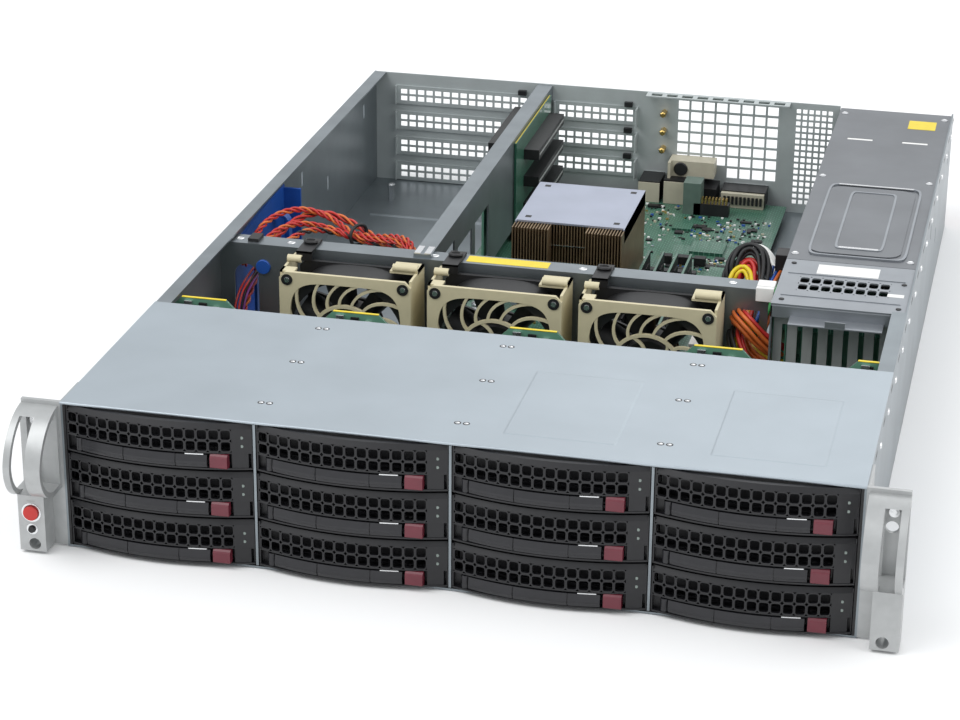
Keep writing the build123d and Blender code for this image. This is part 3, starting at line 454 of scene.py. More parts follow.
def build_finishes(look):
    """Every finish once, and one of them for each CAD node."""
    for row in FINISHES:
        finish(*row)
    board_finish("board", (0.020, 0.095, 0.060), (0.13, 0.30, 0.21))
    by_slot = {"zinc_steel": "zinc", "bright_steel": "bright", "ear_silver": "silver_coat",
               "sink_metal": "lavender", "supply_case": "supply_sheet", "board_green": "board",
               "black_plastic": "black", "carrier_black": "carrier", "lever_black": "lever",
               "fan_black": "black", "guard_plastic": "cream", "red_plastic": "red",
               "blue_plastic": "blue", "wire_jacket": "orange"}
    own = {"supply_cage": "cage_zinc", "drive_cage": "black"}
    for sub in frame["record"]["subparts"]:
        mesh = frame["nodes"][sub["node"]].data
        mesh.materials.clear()
        mesh.materials.append(finishes[own.get(sub["node"], by_slot[sub["material_slot"]])])


# Pieces

def build_bay_cover(look):
    """Cover over the drives: height 87.5 + 0.3 s(d), d being how many millimetres a point lies inside
    one of the two embossed squares and s the smooth step over the first of them. The grid is finer at
    the squares' edges. A rolled hem lies in front, and pairs of rivets on top."""
    near = np.linspace(-2.0, 2.0, 11)
    us = np.unique(np.concatenate([np.linspace(-218.5, 218.5, 90)]
                                  + [edge + near for edge in (24.5, 84.5, 135.5, 195.5)]))
    vs = np.unique(np.concatenate([np.linspace(0.0, 152.8, 32)]
                                  + [edge + near for edge in (18.5, 104.5)]))
    across, along = np.meshgrid(us, vs, indexing="ij")
    rise = np.zeros(across.shape)
    for middle in (54.5, 165.5):
        inside = np.minimum(30.5 - np.abs(across - middle), 43.5 - np.abs(along - 61.5))
        share = np.clip(inside, 0, 1)
        rise = np.maximum(rise, share * share * (3 - 2 * share))
    keep = np.ones((len(us) - 1, len(vs) - 1), dtype=bool)
    sheet = lattice(us, vs, keep, COVER_TOP + 0.3 * rise, 86.82, "xy")
    hem = swept(outline(0.83, 0.83, 2.0, 14) + (-0.36, 87.15), (-218.4, 218.4))
    spots = [(x + step, y, 0.0) for x in (-110, 0, 110) for y in (26, 85, 136) for step in (-2.4, 2.4)]
    radius = look.rivet_radius * 1000
    rivets = turned(spots, [(radius, 87.4), (radius, 87.6), (radius * 0.6, 87.85), (0.2, 87.97)],
                    sides=14, mark=1)
    seats = turned(spots, [(radius + 0.7, 87.4), (radius + 0.7, 87.54)], sides=16, mark=2)
    piece("bay_cover_sheet", [sheet, hem, rivets, seats], ["cover_zinc", "bright", "black"],
          hides=["bay_cover"], smooth=True)


def bays():
    """Tag and offset of every drive bay, the pitches times its column and row counted from the middle
    column line and the lowest row."""
    return [(f"{column + 1}{'abc'[row]}",
             ((column - 1.5) * COLUMN_PITCH, 0.0, row * ROW_PITCH + CARRIER_LOW))
            for column in range(4) for row in range(3)]


def carrier_frame(look):
    """Bezel of one carrier about its lower middle: a field of superellipse openings, a slanted band
    over them and the bars and blocks round them, all bent to the bow of the front."""
    pitch, high = 6.29, 6.8
    xs = -49.0 + pitch * np.arange(look.grille_columns)
    zs = 13.75 + high * np.arange(look.grille_rows)
    spots = np.array([(x, z) for x in xs for z in zs])[:, None]
    outer = square_outline(pitch / 2, high / 2, 16)[None] + spots
    inner = outline(2.5, 2.7, 5.0, 16)[None] + spots
    field, field_faces, _ = ring_plate(outer, inner, 0.0, 1.9)
    field[:, 1] += bow(field[:, 0])
    bars = np.linspace(-52.9, 52.9, 33)
    right = np.linspace(42.2, 52.9, 6)
    parts = [
        (field, field_faces, 0),
        swept([(0, 23.95), (1.7, 26.7), (4.4, 26.7), (4.4, 23.95)], bars, bow(bars)),
        swept([(0, 9.65), (0, 10.35), (4.4, 10.35), (4.4, 9.65)], bars, bow(bars)),
        swept([(0, 0.02), (0, 1.0), (4.4, 1.0), (4.4, 0.02)], bars, bow(bars)),
        swept([(0, 10.35), (0, 23.95), (3.4, 23.95), (3.4, 10.35)], right, bow(right)),
        swept([(0.3, 1.0), (0.3, 9.65), (3.4, 9.65), (3.4, 1.0)], right[:5], bow(right[:5])),
        boxes([(-52.95, -52.15, 0.0, 4.6, 0.05, 26.6), (52.4, 52.95, 0.1, 4.6, 0.05, 26.6),
               (-52.9, 52.9, 3.0, 4.6, 1.0, 9.65), (-52.99, -51.19, 4.6, 162.0, 2.0, 22.0),
               (51.19, 52.99, 4.6, 162.0, 2.0, 22.0), (-52.99, 52.99, 160.2, 162.0, 2.0, 4.0)]),
        boxes([(-50.8, 50.8, 9.0, 156.0, 0.2, 23.0), (-49.0, 49.0, 11.0, 154.0, 23.0, 26.0),
               (-46.0, -12.0, 151.0, 156.5, 3.0, 12.0)], mark=1),
        boxes([(-38.0, 38.0, 30.0, 120.0, 26.0, 26.08)], mark=4),
        boxes([(-50.6, 50.6, 8.2, 9.0, 0.3, 25.8), (29.6, 30.6, 0.2, 3.9, 1.4, 9.4),
               (40.5, 41.4, 0.2, 3.9, 1.4, 9.4)])]
    button = np.linspace(30.7, 40.4, 7)
    nearly_flat = bow(29.6) + 0.12 * (bow(button) - bow(29.6))
    parts.append(swept([(-0.9, 1.9), (-0.9, 7.6), (-0.4, 8.4), (0.6, 9.3), (3.9, 9.3),
                        (3.9, 1.4), (-0.3, 1.4)], button, nearly_flat, mark=2))
    parts.append(turned([(47.6, bow(47.6) - 0.15, 19.0), (47.6, bow(47.6) - 0.15, 14.0)],
                        [(0.85, 0.0), (0.85, 1.2)], "y", 12, mark=3))
    return parts


def build_carriers(look):
    """The twelve drive carriers, each the same frame set at its column and row."""
    parts = carrier_frame(look)
    for tag, offset in bays():
        piece(f"carrier_{tag}_frame", [moved(part, offset) for part in parts],
              ["carrier", "supply_sheet", "maroon", "led", "white"], f"carrier_{tag}",
              [f"drive_carrier_{tag}"])


def build_levers(look):
    """The twelve levers: a faceted profile carried along the bow in three lengths with a groove
    between them, a plain core behind, the round knuckle and a bright wedge near the tip that is a
    painted glint."""
    face = [(0.0, 4.9), (0.9, 8.6), (3.3, 8.7), (3.3, 1.4), (0.8, 1.4), (0.2, 3.2), (0.0, 3.4)]
    core = [(0.6, 4.8), (1.3, 8.3), (3.2, 8.3), (3.2, 1.7), (1.2, 1.7)]
    parts = []
    for x0, x1 in ((-43.4, -18.3), (-17.8, 11.6), (12.1, 29.0)):
        xs = np.linspace(x0, x1, 12)
        parts.append(swept(face, xs, bow(xs, 9.0)))
    xs = np.linspace(-43.2, 28.8, 28)
    parts.append(swept(core, xs, bow(xs, 9.0)))
    # Bright wedge near the lever's tip: a painted glint, the reflection on the lever's curved end
    xs = np.linspace(17.0, 27.0, 8)
    parts.append(swept([(1.0, 8.5), (1.0, 9.2), (2.4, 9.2), (2.6, 8.5)], xs, bow(xs, 9.0), mark=1))
    parts.append(turned([(HINGE_X, 0.2, 0.0)], [(2.3, 1.3), (2.3, 8.7)], "z", 20))
    for tag, offset in bays():
        piece(f"lever_{tag}_bar", [moved(part, offset) for part in parts], ["lever", "bright"],
              f"lever_{tag}", [f"carrier_lever_{tag}"])


def rib(radius_in, radius_out, angle, lean, width, front, back):
    """A leaning rib: at share s its middle has radius r0 + (r1 - r0) s and angle a + l s^1.6, and its
    edges lie half a width to either side."""
    share = np.linspace(0.0, 1.0, 9)
    radius = radius_in + (radius_out - radius_in) * share
    turn = math.radians(angle) + math.radians(lean) * share ** 1.6
    middle = np.column_stack([radius * np.cos(turn), radius * np.sin(turn)])
    along = np.gradient(middle, axis=0)
    along /= np.linalg.norm(along, axis=1, keepdims=True)
    normal = np.column_stack([-along[:, 1], along[:, 0]]) * width / 2
    edges = np.stack([middle - normal, middle + normal], axis=1)
    near = np.stack([edges[..., 0], np.full(edges.shape[:2], front), edges[..., 1]], axis=-1)
    far = near.copy()
    far[..., 1] = back
    return shell(near, far)


def guard_window(angle, half, power):
    """Distance from the middle to a superellipse along a ray: h / (|cos t|^n + |sin t|^n)^(1/n)."""
    turn = math.radians(angle)
    return half / (abs(math.cos(turn)) ** power + abs(math.sin(turn)) ** power) ** (1 / power)


def guard_parts(look):
    """Guard and housing about the fan's middle: a plate with a superellipse window, a ring, leaning
    ribs inside and outside it, a hub, side walls, bosses and two curled tabs."""
    half, power = 35.5, 4.5
    plate = ring_plate(square_outline(42.0, 40.75, 64)[None] + (0.0, 0.85),
                       outline(half, half, power, 64)[None], GUARD_FRONT, GUARD_BACK)
    ring = round_ring(22.6, 20.6, (0.0, 0.0), GUARD_FRONT + 0.2, GUARD_BACK, 48)
    parts = [plate, ring, turned([(0, 0, 0)], [(7.4, 230.2), (8.2, 230.8), (8.2, GUARD_BACK)], "y", 32)]
    for index in range(look.outer_ribs):
        angle = index * 360 / look.outer_ribs
        reach = guard_window(angle - 26.0, half, power) + 1.2
        parts.append(rib(21.8, reach, angle, -26.0, 1.7, 230.3, 232.3))
    for index in range(look.inner_ribs):
        parts.append(rib(7.0, 21.6, (index + 0.5) * 360 / look.inner_ribs, 24.0, 1.7, 230.4, 232.3))
    parts.append(boxes([(-42.0, -40.4, GUARD_BACK, 264.6, -39.9, 41.5),
                        (40.4, 42.0, GUARD_BACK, 264.6, -39.9, 41.5),
                        (-42.0, 42.0, GUARD_BACK, 264.6, -39.9, -38.3),
                        (24.0, 42.0, 248.0, 264.6, 40.0, 41.5),
                        (-42.0, -33.0, GUARD_BACK, 240.0, 40.3, 41.5)]))
    curl = arc_strip((249.0, 43.6), 2.4, 1.3, np.linspace(-math.pi / 2, math.pi * 0.75, 12), -1)
    parts.append(swept(curl, (26.0, 41.9)))
    parts.append(swept(curl, (-41.9, -33.0)))
    spots = [(x, 0.0, 36.6) for x in (-37.0, 37.0)]
    parts.append(turned(spots, [(3.6, 229.5), (3.6, 230.4), (3.6, 231.0)], "y", 20, mark=1))
    parts.append(turned(spots, [(1.7, 229.2), (1.9, 229.6), (1.9, 230.2)], "y", 12, mark=2))
    return parts


def build_guards(look):
    """The three fan housings."""
    parts = guard_parts(look)
    for index, x in enumerate(FAN_X):
        piece(f"guard_{index + 1}", [moved(part, (x, 0.0, FAN_LEVEL)) for part in parts],
              ["cream", "black", "bright"], f"fan_module_{index + 1}", [f"fan_housing_{index + 1}"])


def build_fans(look):
    """The three fan bodies, with two flanges, a rounded barrel, struts to the motor and the latch; and
    the rotors, whose blade at span s and chord c is turned by 44 + 8 s degrees and arched by
    3 (1 - c^2)."""
    square, bore = square_outline(38.0, 38.0, 64)[None], outline(36.5, 36.5, 2.0, 64)[None]
    waist = outline(37.8, 37.8, 3.2, 64)[None]
    stations = (232.7, 235.9, 261.5, 264.7)
    frame_parts = [ring_plate(shape, bore, front, back)
                   for shape, front, back in zip((square, waist, square), stations, stations[1:])]
    for angle in (35.0, 145.0, 215.0, 325.0):
        frame_parts.append(rib(14.0, 37.2, angle, 10.0, 3.4, 262.4, 264.6))
    frame_parts.append(turned([(0, 0, 0)], [(15.0, 261.4), (15.6, 262.2), (15.6, 264.4), (14.6, 264.7)],
                              "y", 32))
    frame_parts.append(boxes([(-40.1, -30.1, 260.7, 285.0, 42.9, 44.3),
                              (-40.1, -30.1, 260.7, 262.4, 38.0, 44.0)]))
    oval = [(2.1, 44.2), (3.2, 44.5), (3.6, 45.4), (3.2, 46.2), (2.2, 46.4), (1.9, 45.6)]
    frame_parts.append(turned([(-35.1, 276.5, 0.0)], oval, "z", 24, 1.35))
    blades = []
    span, chord = np.meshgrid(np.linspace(0, 1, 9), np.linspace(-1, 1, 13), indexing="ij")
    tilt = np.radians(44.0 + 8.0 * span)
    arch, reach = 3.0 * (1 - chord ** 2), 10.0 * chord * (0.86 + 0.14 * span)
    axial = reach * np.cos(tilt) - arch * np.sin(tilt)
    round_way = reach * np.sin(tilt) + arch * np.cos(tilt)
    root, tip, count, station = 15.6, 34.9, 7, 246.7
    radius = root + (tip - root) * span
    thick = 0.55 * (1 - 0.75 * chord ** 2)
    for blade in range(count):
        turn = blade * 2 * math.pi / count + round_way / radius
        near, far = (np.stack([radius * np.cos(turn), station + axial + side * thick,
                               -radius * np.sin(turn)], axis=-1) for side in (-1, 1))
        blades.append(shell(far, near))
    blades.append(turned([(0, 0, 0)], [(12.0, 236.7), (15.2, 237.1), (16.4, 238.4), (16.5, 240.0),
                                       (16.5, 256.6)], "y", 40))
    blades.append(turned([(0, 0, 0)], [(9.0, 236.45), (9.0, 236.9)], "y", 32, mark=1))
    for index, x in enumerate(FAN_X):
        offset = (x, 0.0, FAN_LEVEL)
        piece(f"fan_body_{index + 1}", [moved(part, offset) for part in frame_parts], ["black"],
              f"fan_module_{index + 1}", [f"fan_frame_{index + 1}"], smooth=True)
        piece(f"rotor_{index + 1}_blades", [moved(part, offset) for part in blades], ["black", "grey"],
              f"rotor_{index + 1}", [f"fan_rotor_{index + 1}"], smooth=True)


def build_backplane_parts(look):
    """Yellow edges, bright connectors and small dark chips on the five tabs of the backplane."""
    middles, halves = (-194.05, -99.5, 8.04, 116.9, 204.0), (14.0, 14.0, 14.0, 14.0, 7.0)
    yellow, metal, dark = [], [], []
    for x, half in zip(middles, halves):
        yellow.append((x - half, x + half, 169.8, 171.8, 84.75, 85.25))
        metal += [(x - half + 2, x - half + 7, 168.2, 170.0, 80.4, 83.4),
                  (x + half - 8, x + half - 4, 168.4, 170.0, 79, 81)]
        dark += [(x - 3.0, x + 2.0, 168.6, 170.0, 79.5, 82.5)]
    piece("backplane_tab_parts", [boxes(yellow), boxes(metal, 1), boxes(dark, 2)],
          ["yellow", "bright", "black"], bevel=0.15)


def build_wall_parts(look):
    """Fittings of the fan wall: the plain strip on its bar, a clip, dimples and round plugs."""
    strip = boxes([(-57.0, -5.0, 273.0, 283.0, BAR_TOP, 84.15)], 0)
    clips = boxes([(-199.5, -192.5, 273.0, 284.0, BAR_TOP, 86.2)], 1)
    dimples = turned([(x, 277.5, 0.0) for x in (-214, -206, -172, -78, 16.5, 110)],
                     [(2.6, BAR_TOP), (2.6, 84.25), (1.8, 84.5), (1.1, 84.3)], sides=16, mark=2)
    plugs = turned([(-188.7, 0.0, 69.0)], [(4.4, 268.6), (4.8, 269.2), (4.8, 270.0)], "y", 24, mark=3)
    dark = turned([(-171.5, 0.0, 69.0), (-171.5, 0.0, 20.0)], [(2.4, 269.5), (2.4, 270.0)], "y", 18, mark=1)
    piece("fan_wall_fittings", [strip, clips, dimples, plugs, dark], ["yellow", "black", "bright", "blue"])


def build_board_parts(look):
    """Small parts of the main board: blocks at places drawn from a fixed seed inside the free zones,
    cans in rows, chips on the memory cards, and the frames of the rear ports."""
    draw = np.random.default_rng(11)
    zones = np.array([(-96, -56, 300, 465), (-50, 22, 298, 376), (-60, 26, 480, 560), (-40, 26, 562, 618),
                      (66, 98, 400, 452), (30, 96, 484, 515), (30, 96, 545, 600)], float)
    pick = draw.integers(0, len(zones), look.chip_count)
    zone = zones[pick]
    size = draw.uniform((0.8, 0.8, 0.5), (2.6, 2.2, 1.2), (look.chip_count, 3))
    size[::14] *= (3.2, 3.2, 1.6)
    x = zone[:, 0] + (zone[:, 1] - zone[:, 0] - size[:, 0]) * draw.uniform(0, 1, look.chip_count)
    y = zone[:, 2] + (zone[:, 3] - zone[:, 2] - size[:, 1]) * draw.uniform(0, 1, look.chip_count)
    limits = np.column_stack([x, x + size[:, 0], y, y + size[:, 1], np.full(len(x), BOARD_TOP),
                              BOARD_TOP + size[:, 2]])
    kind = draw.integers(0, 12, look.chip_count)
    kind[::14] = 0
    # The finish that each kind takes: five of twelve kinds are black, two bright, two white
    finish_of = np.array([0, 0, 0, 0, 0, 1, 1, 2, 3, 4, 5, 3])[kind]
    parts = [boxes(limits[finish_of == mark], mark) for mark in range(6)]
    cans = [(x, y, BOARD_TOP) for x in (-72.0, -63.0) for y in np.arange(312, 372, 11.0)]
    cans += [(x, 476.0, BOARD_TOP) for x in np.arange(-48, 20, 11.0)]
    parts.append(turned(cans, [(3.6, 0.0), (3.6, 9.2), (3.2, 9.8), (2.6, 9.8)], sides=16, mark=1))
    parts.append(turned(cans, [(3.8, 0.0), (3.8, 1.6)], sides=16, mark=0))
    piece("board_small_parts", parts, ["black", "bright", "brass", "white", "blue", "beige"])
    chips = []
    cards = 32.0 + 9.5 * np.arange(4)
    for middle in cards:
        for y in np.arange(312.0, 428.0, 13.2):
            chips += [(middle + side * 1.2 - 0.5, middle + side * 1.2 + 0.5, y, y + 10.5, 17.5, 34.0)
                      for side in (-1, 1)]
    edge = [(middle - 0.75, middle + 0.75, 306.5, 437.5, 39.3, 39.95) for middle in cards]
    piece("memory_chips", [boxes(chips), boxes(edge, 1)], ["black", "board"])
    ports = []
    for x, width, height in ((0.0, 16.0, 16.0), (19.0, 16.0, 18.5), (41.0, 18.0, 13.0), (70.0, 33.0, 12.0)):
        mouth = (x - width / 2 + 1.6, x + width / 2 - 1.6, 10.6, 7.4 + height)
        ports.append(window_sheet((x - width / 2, x + width / 2, BOARD_TOP, BOARD_TOP + height),
                                  [mouth], 646.5, 647.9))
    fronts = [(-8.0, 8.0, 621.4, 622.4, 9.0, 24.0), (11.2, 26.8, 621.3, 622.4, 9.0, 26.0),
              (54.0, 86.0, 624.0, 628.3, 9.0, 20.0)]
    tall = boxes([(13.0, 47.0, 632.0, 646.4, 27.4, 39.5), (13.0, 15.0, 626.0, 632.0, 9.0, 39.5)], 1)
    stack = boxes([(29.0, 42.0, 602.0, 618.0, BOARD_TOP, 33.0)], 4)
    ring = turned([(22.0, 0.0, 33.4)], [(4.6, 630.6), (5.2, 631.2), (5.2, 632.0)], "y", 28, mark=2)
    rows = [(x, x + 1.8, 622.6, 624.0, 12.0, 18.0) for x in 56.0 + 3.0 * np.arange(10)]
    pins = [(x, x + 1.2, y, y + 1.2, 17.8, 22.0) for x in 40.0 + 2.54 * np.arange(9) for y in (603.0, 606.2)]
    piece("port_fronts", ports + [boxes(fronts, 1), boxes(rows, 2), boxes(pins, 3), tall, stack, ring],
          ["bright", "beige", "black", "brass", "port_green"])


def build_heat_sink(look):
    """Sink: thin upright fins at an even pitch, cut back in the middle third of the front, under a
    plain cap with four dark marks at its corners, on a base with four screws, and three thin lines
    across the front."""
    left, right, front, back, top = -52.0, 22.0, 382.0, 473.0, 70.0
    base_top, fin_top, notch, thick = 19.0, 68.8, 394.0, 0.7
    xs = np.linspace(left, right - thick, look.fin_count)
    cut = (xs > left + 24) & (xs < right - 25)
    fins = np.column_stack([xs, xs + thick, np.where(cut, notch, front), np.full(len(xs), back),
                            np.full(len(xs), base_top), np.full(len(xs), fin_top)])
    cap = boxes([(left, right, notch, back, 68.7, top)], 1)
    flaps = boxes([(left, left + 0.9, 392.0, back, 60.0, 69.9),
                   (right - 0.9, right, 392.0, back, 60.0, 69.9)], 1)
    marks = boxes([(x, x + 4.0, y, y + 4.0, top, 70.06)
                   for x in (left + 5, right - 9) for y in (400.0, 464.0)], 2)
    base = boxes([(left, right, front, back, 13.3, base_top),
                  (left + 16, right - 16, 398, 457, BOARD_TOP, 13.3)], 1)
    spots = [(x, y, base_top) for x in (left + 4, right - 4) for y in (387.0, 468.0)]
    screws = turned(spots, [(2.6, 0.0), (2.6, 5.0), (1.8, 5.6), (1.0, 5.4)], sides=14, mark=3)
    lines = boxes([(left, right, 393.4, 393.9, z, z + 0.5) for z in (30.0, 42.0, 54.0)], 3)
    piece("heat_sink_fins", [boxes(fins), cap, flaps, marks, base, screws, lines],
          ["copper", "lavender", "black", "bright"], hides=["heat_sink"])


def build_rear_panel(look):
    """Rear sheet: windows for the two stacks of card slots and the ports, a coarse field of square
    openings, a fine one beside the supplies, a folded, slotted edge on top and three brass studs; slot
    covers each with two rows of openings, bent edges and a dark catch."""
    lefts, rights = 9.0 + SLOT_PITCH * np.arange(4), 26.6 + SLOT_PITCH * np.arange(3)
    windows = [(-200.5, -96.5, z - 6.2, z + 6.2) for z in lefts]
    windows += [(-77.0, -15.0, z - 6.2, z + 6.2) for z in rights]
    windows += [(-8.0, 8.0, 9.0, 24.8), (11.0, 27.0, 9.0, 27.3), (32.0, 50.0, 9.0, 21.8),
                (53.5, 86.5, 9.0, 20.8)]
    windows = np.concatenate([np.array(windows),
                              grid_windows(15.6, 92.0, look.mesh_columns, 32.5, 82.7, 6, 1.6, 1.7),
                              grid_windows(53.8, 92.0, 4, 23.4, 32.5, 1, 1.6, 1.7),
                              grid_windows(103.7, 131.9, 6, 7.4, 82.7, 16, 1.5, 1.5)])
    panel = window_sheet((-217.2, 136.5, 1.25, 86.7), windows, 646.85, REAR_FACE)
    fold_slots = grid_windows(-5.0, 98.0, 9, 638.5, 644.5, 1, 3.4, 0.0)
    fold = window_sheet((-7.0, 100.0, 636.5, 647.0), fold_slots, 86.6, 85.7, "xy")
    studs = turned([(6.0, 0.0, z) for z in (44.0, 58.0, 72.0)],
                   [(1.4, 638.0), (2.3, 638.6), (2.3, 646.8)], "y", 6, mark=1)
    piece("rear_sheet", [panel, fold, studs], ["rear_zinc", "brass"], hides=["rear_panel"])
    parts = []
    for start, end, levels, count in ((-200.5, -96.5, lefts, 15), (-77.0, -15.0, rights, 9)):
        for z in levels:
            holes = grid_windows(start + 2, end - 2, count, z - 5.4, z + 5.4, 2, 1.7, 1.7)
            parts.append(window_sheet((start - 1.1, end + 1.1, z - 7.3, z + 7.3), holes, 645.95, 646.8))
            parts.append(boxes([(end + 0.2, end + 1.1, 637.0, 646.0, z - 7.2, z + 7.2),
                                (start - 1.1, start - 0.2, 643.0, 646.0, z - 7.2, z + 7.2)]))
            parts.append(boxes([(end - 9.0, end - 3.0, 642.5, 645.9, z + 7.5, z + 11.0)], 1))
    piece("slot_cover_sheets", parts, ["rear_zinc", "black"], hides=["slot_covers"])


def build_supply_top(look):
    """Cap over the power board: a field of round openings inside a plain sheet, a side wall with a
    gate for the lead, a stepped and rounded front lip, its labels and dots; and the embossed rings
    with bright bars at their ends that are painted highlights, the label, the vents filled with white
    boxes that paint the light seen through them, and the screw heads on the top of the cage."""
    left, right = 137.05, 216.95
    xs, ys = 149.0 + 7.0 * (np.arange(8) + 0.5), (278.2, 290.2)
    spots = np.array([(x, y) for x in xs for y in ys])[:, None]
    field = ring_plate(square_outline(3.5, 6.0, 24)[None] + spots, outline(2.8, 4.4, 4.0, 24)[None] + spots,
                       CAP_TOP, CAP_UNDER, "xy")
    sheet = window_sheet((left, right, 247.1, 324.6), [(149.0, 205.0, 272.2, 296.2)], CAP_TOP, CAP_UNDER,
                         "xy")
    side = window_sheet((247.1, 324.6, 1.3, CAP_UNDER), [(256.0, 269.0, 10.0, 60.0)], 138.0, left, "yz")
    turn = np.linspace(0, math.pi / 2, 9)
    bend = np.concatenate([
        np.column_stack([249.0 - 1.9 * np.sin(turn[::-1]), 83.2 + 1.9 * np.cos(turn[::-1])]),
        np.column_stack([249.0 - 1.0 * np.sin(turn), 83.2 + 1.0 * np.cos(turn)])])
    lip = swept(bend, (left, right))
    skirt = boxes([(137.1, 216.9, 247.1, 248.0, 76.3, 83.2)])
    brow = swept([(235.2, 76.3), (235.2, 77.1), (236.4, 77.6), (247.5, 77.6), (247.5, 76.6)], (149.0, 205.0))
    tongue = swept([(235.3, 77.0), (235.3, 80.8), (236.3, 80.8), (236.6, 77.5)], (171.0, 183.0))
    ridge = boxes([(141.0, 213.0, 300.0, 301.0, 85.1, 85.6), (141.0, 213.0, 262.0, 263.0, 85.1, 85.6)])
    labels = boxes([(158.0, 196.0, 303.0, 319.0, CAP_TOP, 85.3),
                    (204.0, 214.0, 274.0, 279.0, CAP_TOP, 85.3)], 1)
    dots = turned([(142.5, 318.0, 85.1), (212.5, 296.0, 85.1), (142.5, 255.0, 85.1), (212.5, 255.0, 85.1)],
                  [(1.7, 0.0), (1.7, 0.4), (1.1, 0.6)], sides=14, mark=2)
    piece("supply_cap_sheet", [field, sheet, side, lip, skirt, brow, tongue, ridge, labels, dots],
          ["cap_zinc", "white", "black"], hides=["supply_cap"])
    bars = np.concatenate([grid_windows(141.0, 215.0, 8, low, high, 1, 6.0, 0.0)
                           for low, high in ((34.0, 70.0), (8.0, 28.0))])
    screen = window_sheet((139.0, 216.5, 1.6, 75.8), bars, 252.9, 253.8)
    piece("supply_screen", [screen], ["screen"])
    rings = [ring_plate(outline(half_x, half_y, 14.0, 96)[None] + (179.0, 405.0),
                        outline(half_x - 1.5, half_y - 1.5, 14.0, 96)[None] + (179.0, 405.0),
                        86.2, 85.1, "xy")
             for half_x, half_y in ((31.0, 70.0), (15.5, 56.0))]
    # Bright bars across the ends of the embossed rings: painted highlights on their curved ends
    painted_highlight_ends = boxes([(154.0, 204.0, 472.4, 474.6, 85.9, 86.3), (166.5, 191.5, 349.6, 352.2, 85.9, 86.3)], 3)
    tag = boxes([(188.5, 208.0, 609.5, 629.0, 85.2, 85.35)], 1)
    # The vents are white boxes: painted light, standing for the brightness seen through the openings
    vents = boxes([(x - 8.9, x + 8.9, 575.1, 578.9, 84.3, 85.0) for x in (157.67, 196.33)], 4)
    heads = turned([(x, y, 85.2) for x in (141.0, 213.0) for y in (335.0, 490.0, 635.0)],
                   [(2.4, 0.0), (2.4, 0.4), (1.6, 0.9), (0.8, 0.8)], sides=16, mark=3)
    piece("supply_cage_details", rings + [painted_highlight_ends, tag, vents, heads],
          ["cap_zinc", "yellow", "black", "bright", "white"])


def build_supply_faces(look):
    """Rear faces of the supplies: three rings in the fan opening, the inlet's dark frame with its
    contact blades, and a small lamp."""
    fan_x, first, pitch = 158.0, 21.5, 41.6
    for index in range(2):
        middle = first + pitch * index
        parts = []
        for radius in (5.0, 9.0, 13.0):
            parts.append(round_ring(radius + 0.5, radius - 0.5, (fan_x, middle), 647.1, REAR_FACE))
        parts.append(window_sheet((180.2, 207.2, middle - 11.6, middle + 11.6),
                                  [(181.8, 205.6, middle - 9.9, middle + 9.9)], 647.9, 648.3, mark=1))
        parts.append(boxes([(193.0, 194.5, 636.0, 644.0, middle + 2.5, middle + 5.5),
                            (187.0, 188.5, 636.0, 644.0, middle - 5.5, middle - 2.5),
                            (199.0, 200.5, 636.0, 644.0, middle - 5.5, middle - 2.5)], 2))
        parts.append(turned([(172.0, 648.0, middle + 15.0)], [(1.5, 0.0), (1.5, 0.3)], "y", 14, mark=3))
        piece(f"supply_face_{index + 1}", parts, ["bright", "black", "brass", "led"], f"supply_{index + 1}")


def build_chassis_parts(look):
    """Details of the tub: beads pressed in the floor, with height 1.2 + 0.9 cos t across them,
    standoffs, rivets along both outer walls, black patches beside them that paint the shade of the
    wall's slots, divider strips behind the bezels and the brace's tabs; and the cards and card slots
    of the risers."""
    turn = np.linspace(-np.pi / 2, np.pi / 2, 9)
    bead = np.column_stack([np.linspace(-3, 3, 9), FLOOR_TOP + 0.9 * np.cos(turn)])
    parts = [moved(swept(bead, (-200.0, -112.0)), (0, y, 0)) for y in (320.0, 565.0)]
    parts.append(turned([(-193.0, 600.0, FLOOR_TOP), (-193.0, 440.0, FLOOR_TOP), (-112.0, 600.0, FLOOR_TOP)],
                        [(2.8, 0.0), (2.8, 12.0), (2.0, 13.0)], sides=6, mark=1))
    stations = np.arange(36.0, 640.0, 46.0)
    dome = [(2.2, 0.0), (1.9, 0.5), (1.0, 0.8)]
    for side in (-1, 1):
        profile = [(radius, side * height) for radius, height in dome[::side]]
        parts.append(turned([(side * 218.5, y, 74.0) for y in stations], profile, "x", 14, mark=1))
        x0, x1 = sorted((side * 218.45, side * 218.56))
        # Black patches on the outer walls: painted shade standing for the dark slots there
        parts.append(boxes([(x0, x1, y + 14.0, y + 24.0, 79.0, 81.2) for y in stations], 3))
    parts.append(boxes([(x - 0.7, x + 0.7, -0.4, 3.0, 2.0, 86.0) for x in (-108.28, 0.0, 108.28)], 0))
    parts.append(boxes([(x, x + 4.0, 273.2, 286.0, 86.0, 86.7) for x in (-90.5, -84.0)], 1))
    piece("chassis_details", parts, ["zinc", "bright", "blue", "black"])
    edges = boxes([(-92.6, -92.0, 471.0, 631.0, 82.6, 83.1), (-78.9, -78.3, 513.0, 631.0, 82.6, 83.1)])
    left_levels, right_levels = (29.32, 49.64, 69.96), (26.6, 46.92, 67.24)
    gaps = [(-104.2, -92.9, 539.0, 624.0, z - 0.7, z + 0.7) for z in left_levels]
    gaps += [(-77.6, -66.3, 539.0, 624.0, z - 0.7, z + 0.7) for z in right_levels]
    shells = [(-104.0, -92.9, 536.8, 626.0, z - 3.8, z + 3.8) for z in left_levels]
    shells += [(-77.6, -66.5, 536.8, 626.0, z - 3.8, z + 3.8) for z in right_levels]
    piece("riser_parts", [edges, boxes(shells, 1), boxes(gaps, 2)], ["yellow", "black", "grey"])


